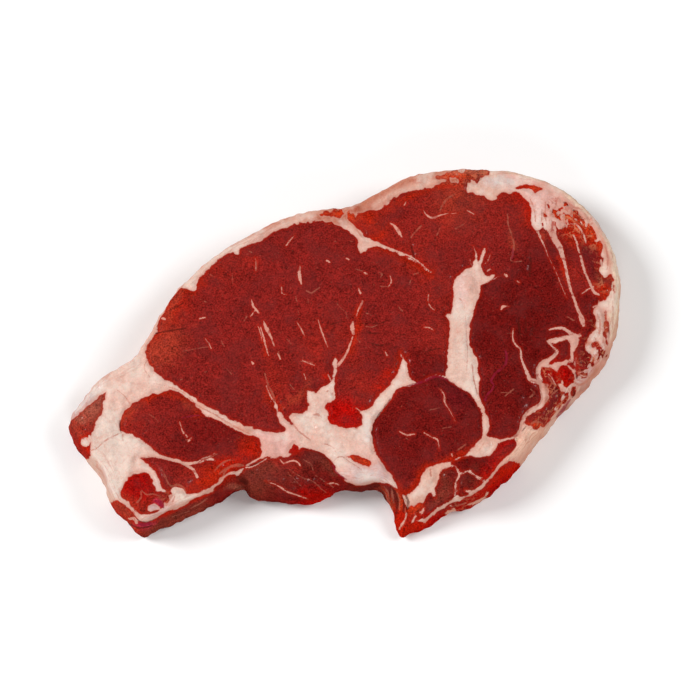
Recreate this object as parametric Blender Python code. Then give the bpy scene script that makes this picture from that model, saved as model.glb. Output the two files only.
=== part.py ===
"""A raw ribeye steak: one solid slice of beef, lying flat with its cut face up.

Metres, +Z up. The underside rests on z = 0. +X runs along the slice and +Y across it.
The outline and the muscles are smooth closed curves through a few points in millimetres.
The cut face carries the relief: each muscle is crowned, with a groove where it meets the fat.
"""
import math

import bpy
import bmesh
import numpy as np
from mathutils import Vector
from mathutils.geometry import delaunay_2d_cdt

MM = 0.001

# Driving dimensions, in millimetres.
FACE_HEIGHT = 20.6        # height of the fat on the cut face
CROWN_HEIGHT = 1.4        # how far the middle of a muscle stands above the fat
CROWN_REACH = 6.0         # distance from a muscle's edge at which most of the crown is reached
GROOVE_DEPTH = 0.8        # depth of the groove at a muscle's edge
GROOVE_REACH = 1.3
SEAM_DEPTH = 0.7          # depth of the groove along a seam between two muscles
GROOVE_FADE = (2.0, 6.0)  # grooves fade out between these distances from the outline
FOOT_RADIUS = 2.6         # rounding where the side turns under
SIDE_BULGE = 0.7          # how far the side swells past the shoulder
SIDE_SHARE = 0.42         # share of the height at which the shoulder starts
SIDE_CAP = 0.6            # the side's widest ring stays under this share of the shoulder
UPPER_BULGE = 0.8         # share of the swelling left at the side's top ring
BROW_SHARE = 0.08         # where the face's first ring lies, in widths of the shoulder
RIM_SHARE = 0.35          # and its second ring
UNDERCUT_SHARES = (0.9, 0.5, 0.2)  # how much of an undercut the side's three rings take
RING_SPACING = 2.9        # distance between the vertices round the outline
FACE_SPACING = 3.3        # distance between the vertices inside the cut face
BORDER_SPACING = 3.2      # distance between the vertices along a muscle's edge
FACE_CLEARANCE = 0.62     # least gap left beside a line on the face, in FACE_SPACING
BASE_SPACING = 9.0        # distance between the vertices inside the underside
BASE_CLEARANCE = 0.5      # the same for the underside, in BASE_SPACING
CURVE_STEPS = 16          # steps between two given points of a smooth curve
OVERLAP_DEPTH = 1.0       # a muscle's edge is left out where it lies this deep in another
RIM_CLEARANCE = 2.4       # and where it comes this near the outline

# The look.
BEEF_COLOUR = (0.30, 0.035, 0.028, 1.0)
BEEF_ROUGHNESS = 0.42
SHARP_ANGLE = 50          # degrees

# The outline seen from above, anticlockwise from the left end: x, y, and how wide the
# shoulder is, over which the cut face rounds down to the side.
OUTLINE = [
    (-110.0, -32.2, 8.0), (-106.8, -40.0, 7.0), (-102.5, -45.8, 5.0), (-98.8, -49.6, 3.0),
    (-95.6, -54.6, 2.2), (-93.0, -62.0, 2.0), (-90.2, -66.6, 2.0), (-85.6, -71.2, 2.0),
    (-79.6, -76.2, 2.0), (-73.4, -73.6, 2.0), (-66.0, -70.0, 2.0), (-58.0, -66.5, 2.0),
    (-51.0, -62.7, 2.2), (-44.9, -58.7, 3.5), (-40.5, -57.2, 6.0), (-36.8, -60.6, 9.5),
    (-28.0, -62.2, 11.0), (-14.0, -63.4, 12.5), (-7.8, -61.4, 9.0), (-2.5, -59.0, 4.0),
    (4.5, -59.8, 2.4), (11.0, -59.2, 2.4), (15.2, -61.6, 4.5), (18.2, -66.5, 6.0),
    (19.3, -71.5, 5.0), (21.3, -75.8, 3.5), (26.5, -74.4, 3.0), (32.4, -71.2, 3.0),
    (39.0, -67.2, 3.0), (49.6, -63.7, 3.0), (58.8, -57.2, 3.0), (67.0, -48.9, 3.2),
    (74.0, -40.0, 3.4), (82.0, -29.8, 3.6), (91.6, -19.2, 3.8), (100.7, -8.8, 3.8),
    (106.6, 3.5, 3.6), (109.5, 17.0, 3.4), (109.9, 31.0, 3.4), (106.0, 45.0, 3.4),
    (99.0, 56.2, 3.2), (89.4, 65.2, 3.0), (78.6, 70.8, 2.8), (66.0, 74.2, 2.6),
    (52.0, 75.0, 2.4), (38.0, 74.3, 2.2), (23.6, 70.8, 2.0), (11.4, 64.0, 2.0),
    (1.6, 58.6, 2.0), (-12.4, 56.8, 2.0), (-26.6, 52.8, 2.0), (-40.8, 45.2, 2.0),
    (-55.0, 35.4, 2.0), (-66.8, 24.0, 2.0), (-73.8, 13.6, 2.0), (-79.4, 2.6, 2.0),
    (-86.0, -7.8, 2.2), (-96.4, -14.2, 2.6), (-104.6, -22.6, 4.0),
]

# The muscles' edges. The eye and the cap run into one another above the fat bar, so
# their curves overlap there and no groove is left between them.
MUSCLES = {
    "eye": [
        (-79, -6), (-75.4, 4), (-70.5, 15), (-66, 21), (-60, 21.5), (-58, 26.5), (-50, 34.2),
        (-43, 37.5), (-33, 42.8), (-24, 47.2), (-13, 50), (-6, 49.8), (1, 45.4), (4.6, 41),
        (6, 36.5), (10, 39), (17, 37.6), (25, 33.4), (33, 28), (42, 30), (43.4, 24.6),
        (42.4, 14), (40.8, 4), (40.2, -10), (38.6, -17), (31, -18.2), (25.4, -18), (23.4, -9),
        (20.8, -14), (14.4, -22.8), (8.4, -30.6), (5.6, -36.4), (0, -38), (-6.4, -35),
        (-8.2, -29), (-4.6, -24), (-4.8, -13), (-8.6, -20.6), (-15, -23), (-15.2, -30),
        (-20.6, -32.4), (-20.6, -36.6), (-27.4, -29), (-24, -39), (-33, -38.6), (-44, -35.2),
        (-56.4, -28.4), (-66.8, -20.4), (-75, -15),
    ],
    "cap": [
        (2.6, 50.5), (8, 54.6), (17, 58.6), (26, 63.4), (37, 66.6), (47, 67.6), (50, 63),
        (58.6, 59.6), (65, 62.8), (71, 61.6), (74.6, 55), (76.4, 47), (80, 45), (83.6, 40),
        (87, 33), (88, 25), (91, 13), (92.6, 5), (86, 4.6), (79.6, 0), (77.6, -5), (74.2, -12),
        (72.4, -17), (68, -7), (64, 0), (59, -8), (52.8, -12), (49, -4), (49.2, 6), (53, 16.6),
        (54, 22), (54.6, 31), (50, 30.6), (44, 27), (33.4, 27.4), (25, 35), (12, 41.6),
        (6.4, 45.6),
    ],
    "complexus": [
        (10, -39), (12.6, -32.6), (17.6, -25.6), (24, -21), (36, -17.8), (45.4, -21.6),
        (51.4, -28.4), (53.7, -36.6), (50.6, -44.6), (45.6, -49.6), (37.6, -51.4), (30.4, -55.6),
        (26, -62), (21.6, -63), (16.4, -55), (11.4, -48),
    ],
    "rib strip": [
        (-88.2, -35.4), (-84.6, -28.6), (-77, -24.4), (-68, -22.6), (-60.6, -27), (-54.8, -33),
        (-45.6, -37.2), (-34.4, -42), (-33.2, -48.6), (-40, -52.6), (-50, -49.4), (-60, -51.6),
        (-71.4, -49.4), (-79.4, -43.2), (-86.4, -39.8),
    ],
    "tail": [
        (-79, -50.4), (-70, -51.6), (-62.4, -54.4), (-54, -53), (-44, -53.8), (-49.4, -58),
        (-53.4, -62.4), (-59.6, -64.6), (-66.4, -61.8), (-72, -58.8),
    ],
    "bud": [
        (-86.8, -64.6), (-84, -57.6), (-77.6, -55.6), (-73.4, -60.4), (-68.4, -63.4),
        (-71.4, -69.2), (-77.6, -72.4), (-83.4, -68.4),
    ],
    "side strip": [
        (54.4, -11), (60, -8), (66, -3.4), (69.4, -13), (75, -20.4), (75.2, -27.4),
        (69.6, -31.6), (66, -40.4), (59.6, -42.8), (55.8, -40), (55, -31), (52.4, -22),
    ],
    "outer strip": [
        (94.6, 44.6), (99.6, 45.4), (101.6, 36), (100.4, 27), (104, 21), (100, 14), (97.4, 3),
        (94.4, -8), (91.6, -8), (95, 3), (94, 14), (91.4, 24), (90.6, 35),
    ],
}

# Seams that run between two stretches of lean.
SEAMS = [
    [(-79, -49.6), (-68.6, -50.9), (-62, -53.4), (-57.6, -58.4)],
    [(62.6, -6), (62.8, -11.2), (57.6, -17.4), (54.9, -25)],
    [(76.8, 46), (80.9, 34), (84.6, 24.8), (87.7, 15.7)],
    [(2.9, 0.7), (1.1, -5), (-2.2, -11)],
]

# Places where the slice lies lower than the rest: x, y, reach and drop.
SAGS = [
    (23.0, -76.0, 14.0, 13.0),
    (38.0, -71.0, 9.0, 5.0),
    (-106.0, -37.0, 12.0, 2.5),
    (-79.0, -76.0, 12.0, 1.2),
    (4.0, -58.0, 12.0, 1.6),
    (92.0, -26.0, 14.0, 2.0),
]

# Places where the side is drawn in under the cut face: x, y, reach and how far.
UNDERCUTS = [(4.0, -61.0, 9.0, 4.5)]


def clear_scene():
    for item in list(bpy.data.objects):
        bpy.data.objects.remove(item, do_unlink=True)


def smooth_loop(points, spacing, closed=True):
    """Evenly spaced points on the Catmull-Rom curve through the given ones."""
    knots = np.array(points, dtype=float)
    if closed:
        start = knots
        before = np.roll(knots, 1, 0)
        after = np.roll(knots, -1, 0)
        last = np.roll(knots, -2, 0)
    else:
        padded = np.vstack([2 * knots[0] - knots[1], knots, 2 * knots[-1] - knots[-2]])
        before = padded[:-3]
        start = padded[1:-2]
        after = padded[2:-1]
        last = padded[3:]
    step = np.linspace(0.0, 1.0, CURVE_STEPS, endpoint=False)[None, :, None]
    before, start, after, last = (part[:, None, :] for part in (before, start, after, last))
    fine = 0.5 * (
        2 * start
        + (after - before) * step
        + (2 * before - 5 * start + 4 * after - last) * step ** 2
        + (3 * start - before - 3 * after + last) * step ** 3
    ).reshape(-1, knots.shape[1])
    fine = np.vstack([fine, knots[0] if closed else knots[-1]])
    along = np.concatenate([[0.0], np.cumsum(np.hypot(*np.diff(fine[:, :2], axis=0).T))])
    count = max(3, round(along[-1] / spacing))
    places = np.linspace(0.0, along[-1], count + 1)
    even = np.stack([np.interp(places, along, fine[:, k]) for k in range(knots.shape[1])], 1)
    return even[:-1] if closed else even


def distance_to(points, line, closed=True):
    """Distance from each point to the nearest place on a line."""
    ends = np.roll(line, -1, 0) if closed else line[1:]
    starts = line if closed else line[:-1]
    nearest = np.full(len(points), np.inf)
    for start, end in zip(starts, ends):
        run = end - start
        share = np.clip((points - start) @ run / max(run @ run, 1e-9), 0.0, 1.0)
        nearest = np.minimum(nearest, np.hypot(*(points - start - share[:, None] * run).T))
    return nearest


def is_inside(points, loop):
    """Whether each point lies inside a closed loop, by counting crossings."""
    inside = np.zeros(len(points), dtype=bool)
    for (x0, y0), (x1, y1) in zip(loop, np.roll(loop, -1, 0)):
        if y0 == y1:
            continue
        spans = (y0 > points[:, 1]) != (y1 > points[:, 1])
        crossing = x0 + (points[:, 1] - y0) * (x1 - x0) / (y1 - y0)
        inside ^= spans & (points[:, 0] < crossing)
    return inside


def depth_in_lean(points, loops):
    """How far each point is inside the nearest muscle, negative in the fat."""
    depth = np.full(len(points), -np.inf)
    for loop in loops:
        distance = distance_to(points, loop)
        depth = np.maximum(depth, np.where(is_inside(points, loop), distance, -distance))
    return depth


def dips(points, places):
    """The sum of smooth round dips, each given by x, y, reach and depth."""
    total = np.zeros(len(points))
    for x, y, reach, depth in places:
        away = np.hypot(points[:, 0] - x, points[:, 1] - y)
        total += depth * np.exp(-(away / reach) ** 2)
    return total


def face_height(points, loops, seams, edge, shoulder):
    """Height of the cut face: fat level, crowned muscles, grooves, sags and the shoulder."""
    inward = distance_to(points, edge)
    depth = depth_in_lean(points, loops)
    groove = GROOVE_DEPTH * np.exp(-(depth / GROOVE_REACH) ** 2)
    for seam in seams:
        away = distance_to(points, seam, closed=False)
        groove += SEAM_DEPTH * np.exp(-(away / GROOVE_REACH) ** 2)
    groove *= np.clip((inward - GROOVE_FADE[0]) / (GROOVE_FADE[1] - GROOVE_FADE[0]), 0, 1)
    height = FACE_HEIGHT + CROWN_HEIGHT * (1 - np.exp(-np.maximum(depth, 0) / CROWN_REACH))
    height -= groove + dips(points, SAGS)
    nearest = np.argmin(
        (points[:, None, 0] - edge[None, :, 0]) ** 2 + (points[:, None, 1] - edge[None, :, 1]) ** 2,
        axis=1,
    )
    fall = np.clip(1 - inward / shoulder[nearest], 0, 1)
    low = SIDE_SHARE * height
    return low + (height - low) * np.sqrt(np.maximum(1 - fall ** 2, 0))


def inward_normals(loop):
    """Unit vectors pointing into an anticlockwise loop."""
    along = np.roll(loop, -1, 0) - np.roll(loop, 1, 0)
    normal = np.stack([-along[:, 1], along[:, 0]], 1)
    return normal / np.linalg.norm(normal, axis=1)[:, None]


def even_grid(loop, spacing):
    """Points of a triangular grid that lie inside a loop."""
    low = loop.min(0)
    high = loop.max(0)
    rows = np.arange(low[1], high[1], spacing * math.sqrt(3) / 2)
    columns = np.arange(low[0], high[0], spacing)
    x, y = np.meshgrid(columns, rows)
    x = x + (np.arange(len(rows)) % 2)[:, None] * spacing / 2
    grid = np.stack([x.ravel(), y.ravel()], 1)
    return grid[is_inside(grid, loop)]


def triangulate(boundary, lines, filling, clearance):
    """Triangles over the inside of a boundary, with their edges along the given lines."""
    points = [tuple(place) for place in boundary]
    edges = [(k, (k + 1) % len(boundary)) for k in range(len(boundary))]
    taken = [boundary]
    for line, closed in lines:
        first = len(points)
        points += [tuple(place) for place in line]
        edges += [(first + k, first + k + 1) for k in range(len(line) - 1)]
        if closed:
            edges.append((first + len(line) - 1, first))
        taken.append(line)
    taken = np.vstack(taken)
    gap = np.sqrt(((filling[:, None, :] - taken[None, :, :]) ** 2).sum(2)).min(1)
    points += [tuple(place) for place in filling[gap > clearance]]
    face = list(range(len(boundary)))
    flat, _, triangles, origins, _, _ = delaunay_2d_cdt(
        [Vector(place) for place in points], edges, [face], 0, 1e-5, True
    )
    flat = np.array([tuple(place) for place in flat])
    triangles = np.array(triangles)
    triangles = triangles[is_inside(flat[triangles].mean(1), boundary)]
    ring_index = {}
    for index, sources in enumerate(origins):
        for source in sources:
            if source < len(boundary):
                ring_index[index] = source
    return flat, triangles, ring_index


def muscle_loops():
    return [smooth_loop(points, BORDER_SPACING) for points in MUSCLES.values()]


def border_lines(loops, seams, edge):
    """Muscle edges and seams, cut into the stretches that carry a groove."""
    lines = []
    for index, loop in enumerate(loops):
        others = [other for k, other in enumerate(loops) if k != index]
        keep = (depth_in_lean(loop, others) < -OVERLAP_DEPTH) & is_inside(loop, edge)
        keep &= distance_to(loop, edge) > RIM_CLEARANCE
        if keep.all():
            lines.append((loop, True))
            continue
        start = int(np.argmin(keep))
        loop = np.roll(loop, -start, 0)
        keep = np.roll(keep, -start)
        stretch = []
        for place, kept in zip(loop, keep):
            if kept:
                stretch.append(place)
            elif stretch:
                lines.append((np.array(stretch), False))
                stretch = []
        if stretch:
            lines.append((np.array(stretch), False))
    return lines + [(seam, False) for seam in seams]


def build_steak():
    curve = smooth_loop(OUTLINE, RING_SPACING)
    edge = curve[:, :2]
    shoulder = curve[:, 2]
    inward = inward_normals(edge)
    loops = muscle_loops()
    seams = [smooth_loop(seam, BORDER_SPACING, closed=False) for seam in SEAMS]
    drawn_in = dips(edge, UNDERCUTS)

    def add_ring(places, height):
        heights = np.broadcast_to(height, len(places))
        return [mesh.verts.new((x * MM, y * MM, z * MM)) for (x, y), z in zip(places, heights)]

    def add_band(lower, upper):
        for k in range(len(lower)):
            after = (k + 1) % len(lower)
            mesh.faces.new((lower[k], lower[after], upper[after], upper[k]))

    def inset(distance):
        return edge + inward * np.broadcast_to(distance, len(edge))[:, None]

    mesh = bmesh.new()
    turned = inset(FOOT_RADIUS + drawn_in)
    turn = FOOT_RADIUS * (1 - math.sqrt(0.5))  # halfway round the foot's quarter circle
    brow = inset(BROW_SHARE * shoulder)
    rim = inset(RIM_SHARE * shoulder)
    low_share, middle_share, high_share = UNDERCUT_SHARES
    brow_height = face_height(brow, loops, seams, edge, shoulder)
    side_height = np.minimum(SIDE_SHARE * FACE_HEIGHT, SIDE_CAP * brow_height)
    foot = add_ring(turned, 0.0)
    rings = [
        foot,
        add_ring(inset(turn + drawn_in), turn),
        add_ring(inset(low_share * drawn_in), FOOT_RADIUS),
        add_ring(inset(middle_share * drawn_in - SIDE_BULGE), (FOOT_RADIUS + side_height) / 2),
        add_ring(inset(high_share * drawn_in - UPPER_BULGE * SIDE_BULGE), side_height),
        add_ring(brow, brow_height),
    ]
    for lower, upper in zip(rings, rings[1:]):
        add_band(lower, upper)

    lines = border_lines(loops, seams, rim)
    filling = even_grid(rim, FACE_SPACING)
    flat, triangles, ring_index = triangulate(rim, lines, filling, FACE_CLEARANCE * FACE_SPACING)
    heights = face_height(flat, loops, seams, edge, shoulder)
    face = [mesh.verts.new((x * MM, y * MM, z * MM)) for (x, y), z in zip(flat, heights)]
    for corners in triangles:
        mesh.faces.new([face[k] for k in corners])
    by_source = {source: face[index] for index, source in ring_index.items()}
    add_band(rings[-1], [by_source[k] for k in range(len(edge))])

    filling = even_grid(turned, BASE_SPACING)
    flat, triangles, ring_index = triangulate(turned, [], filling, BASE_CLEARANCE * BASE_SPACING)
    under = [
        foot[ring_index[k]] if k in ring_index else mesh.verts.new((x * MM, y * MM, 0.0))
        for k, (x, y) in enumerate(flat)
    ]
    for corners in triangles:
        mesh.faces.new([under[k] for k in reversed(corners)])

    bmesh.ops.triangulate(mesh, faces=mesh.faces[:])
    bmesh.ops.recalc_face_normals(mesh, faces=mesh.faces[:])
    centre_over_origin(mesh)
    return mesh


def centre_over_origin(mesh):
    """Moves the slice so that the middle of its plan's box is at x = y = 0."""
    middle = [
        0.5 * (min(vert.co[k] for vert in mesh.verts) + max(vert.co[k] for vert in mesh.verts))
        for k in range(2)
    ]
    bmesh.ops.translate(mesh, vec=(-middle[0], -middle[1], 0.0), verts=mesh.verts)


def raw_beef():
    material = bpy.data.materials.new("raw beef")
    material.use_nodes = True
    shader = material.node_tree.nodes["Principled BSDF"]
    shader.inputs["Base Color"].default_value = BEEF_COLOUR
    shader.inputs["Roughness"].default_value = BEEF_ROUGHNESS
    shader.inputs["Metallic"].default_value = 0.0
    return material


def main():
    clear_scene()
    data = bpy.data.meshes.new("steak")
    mesh = build_steak()
    mesh.to_mesh(data)
    mesh.free()
    data.materials.append(raw_beef())
    data.shade_smooth()
    data.set_sharp_from_angle(angle=math.radians(SHARP_ANGLE))
    steak = bpy.data.objects.new("steak", data)
    bpy.context.scene.collection.objects.link(steak)
    print("steak:", len(data.polygons), "triangles")


main()
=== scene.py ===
import math

import bpy
import numpy as np
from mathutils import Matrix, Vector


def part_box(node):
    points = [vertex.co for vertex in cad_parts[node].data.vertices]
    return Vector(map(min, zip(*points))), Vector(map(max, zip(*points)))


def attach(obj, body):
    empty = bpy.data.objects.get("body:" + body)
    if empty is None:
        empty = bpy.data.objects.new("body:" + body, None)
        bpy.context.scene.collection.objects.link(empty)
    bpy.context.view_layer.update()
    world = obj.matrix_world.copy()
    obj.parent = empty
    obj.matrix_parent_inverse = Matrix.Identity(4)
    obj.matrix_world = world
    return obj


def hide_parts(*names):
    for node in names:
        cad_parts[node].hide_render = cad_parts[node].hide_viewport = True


# A raw ribeye steak lying flat with its cut face up. Lengths are in millimetres
# until a mesh is made. Every place is seen from above: x along the slice, y across it.

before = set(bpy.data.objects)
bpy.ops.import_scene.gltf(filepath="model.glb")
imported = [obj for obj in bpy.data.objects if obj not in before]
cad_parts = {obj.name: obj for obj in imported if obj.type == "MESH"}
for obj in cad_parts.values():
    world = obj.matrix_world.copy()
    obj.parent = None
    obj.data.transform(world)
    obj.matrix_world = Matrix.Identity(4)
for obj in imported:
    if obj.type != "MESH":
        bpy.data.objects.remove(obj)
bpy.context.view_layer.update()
steakLow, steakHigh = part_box("steak")
print("frame loaded")

sliceShape = {
    "metresPerUnit": 0.001,
    "fatLevel": 20.6,        # height of the fat on the cut face
    "crownHeight": 1.4,      # how far the middle of a muscle stands above the fat
    "crownReach": 6.0,
    "grooveDepth": 0.75,     # groove where lean meets fat
    "grooveReach": 1.1,
    "grooveFade": (2.0, 6.0),
    "footRadius": 2.6,
    "sideBulge": 0.7,
    "sideShare": 0.42,       # share of the height at which the shoulder starts
    "faceLevel": 22.0,
    "fibreLean": 0.364,      # how far the tissue leans along y for each unit down
    "fibreSpread": 0.001,
    "tissueShift": (-0.4, 0.3),
    "middle": 1.25,
    "columns": 310,          # cells of the cut face, from end to end and from side to side
    "rows": 186,
    "shoulderRows": 13,
    "sideRows": 5,
    "footRows": 3,
    "shoulderTurn": 80.0,    # degrees that the shoulder's rows turn through
    "shoulderEasing": 0.3,   # how far each of those rows is smoothed
    "slantRange": (-0.35, 0.25),
    "bulgeStart": 0.25,      # part of a half wave that the side's bulge starts at and spans
    "bulgeSpan": 0.6,
    "bulgeFade": (-0.2, 0.3),
    "undercutLow": 0.9,      # share of an undercut low on the side, and what it loses higher up
    "undercutFall": 0.7,
    "sideInset": 0.1,
    "threadSink": 0.20,      # how far a thread and a cut press into the face
    "cutSink": 0.50,
    "sinkRange": (-0.4, 0.9),
    "edgeGroove": 0.25,      # shares of the grooves and of the relief left at the outline
    "edgeRelief": 0.4,
    "underGroove": (0.35, 1.5),
    "underInset": 1.4,
    "wallLevel": 0.8,        # share of the height at which the shoulder's tissue is read
    "mottleMost": 2.4,
    "mottleFade": (-5.5, -1.0),
    "mottleStretch": (1, 0.6, 1),
    "baseShare": 0.02,       # share of the base colour beside the pools of colour
    "poolSpread": 1.2,
    "washStrength": 0.85,
    "washReach": 2.4,        # how many half widths a band of colour reaches
    "relaxRounds": 120,      # times that the grid of the face is evened out
}

# Small unevenness of each kind: length of the waves, height, seed of the draw.
unevenness = {
    "outline": (9, 0.132, 21), "outlineFine": (3.2, 0.088, 22),
    "face": (13, 0.16, 31), "faceFine": (5, 0.05, 32),
    "fat": (8, 0.30, 33), "fatFine": (3, 0.14, 34),
    "side": (12, 0.26, 41), "sideFine": (5, 0.14, 42), "under": (7, 0.12, 43),
    "mottle": (3.6, 0.75, 11), "mottleFine": (1.7, 0.50, 12), "border": (2.6, 0.16, 13),
    "wash": (5, 0.22, 15),
}

# The outline seen from above, anticlockwise from the left end: x, y, shoulder width.
outline = [
    (-110, -32.2, 8), (-106.8, -40, 7), (-102.5, -45.8, 5), (-98.8, -49.6, 3),
    (-95.6, -54.6, 2.2), (-93, -62, 2), (-90.2, -66.6, 2), (-85.6, -71.2, 2), (-79.6, -76.2, 2),
    (-73.4, -73.6, 2), (-66, -70, 2), (-58, -66.5, 2), (-51, -62.7, 2.2), (-44.9, -58.7, 3.5),
    (-40.5, -57.2, 6), (-36.8, -60.6, 9.5), (-28, -62.2, 11), (-14, -63.4, 12.5),
    (-7.8, -61.4, 9), (-2.5, -59, 4), (4.5, -59.8, 2.4), (11, -59.2, 2.4), (15.2, -61.6, 4.5),
    (18.2, -66.5, 6), (19.3, -71.5, 5), (21.3, -75.8, 3.5), (26.5, -74.4, 3), (32.4, -71.2, 3),
    (39, -67.2, 3), (49.6, -63.7, 3), (58.8, -57.2, 3), (67, -48.9, 3.2), (74, -40, 3.4),
    (82, -29.8, 3.6), (91.6, -19.2, 3.8), (100.7, -8.8, 3.8), (106.6, 3.5, 3.6), (109.5, 17, 3.4),
    (109.9, 31, 3.4), (106, 45, 3.4), (99, 56.2, 3.2), (89.4, 65.2, 3), (78.6, 70.8, 2.8),
    (66, 74.2, 2.6), (52, 75, 2.4), (38, 74.3, 2.2), (23.6, 70.8, 2), (11.4, 64, 2),
    (1.6, 58.6, 2), (-12.4, 56.8, 2), (-26.6, 52.8, 2), (-40.8, 45.2, 2), (-55, 35.4, 2),
    (-66.8, 24, 2), (-73.8, 13.6, 2), (-79.4, 2.6, 2), (-86, -7.8, 2.2), (-96.4, -14.2, 2.6),
    (-104.6, -22.6, 4),
]
# Where the four sides of the face's grid meet on the outline, anticlockwise.
gridCorners = [(-85.6, -71.2), (74.0, -40.0), (89.4, 65.2), (-104.6, -22.6)]

# Places where the slice lies lower: x, y, reach, drop. And where its side is drawn in.
sags = [
    (23, -76, 14, 13), (38, -71, 9, 5), (-106, -37, 12, 2.5), (-79, -76, 12, 1.2),
    (4, -58, 12, 1.6), (92, -26, 14, 2),
]
undercuts = [(4.0, -61.0, 9.0, 4.5)]

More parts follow.
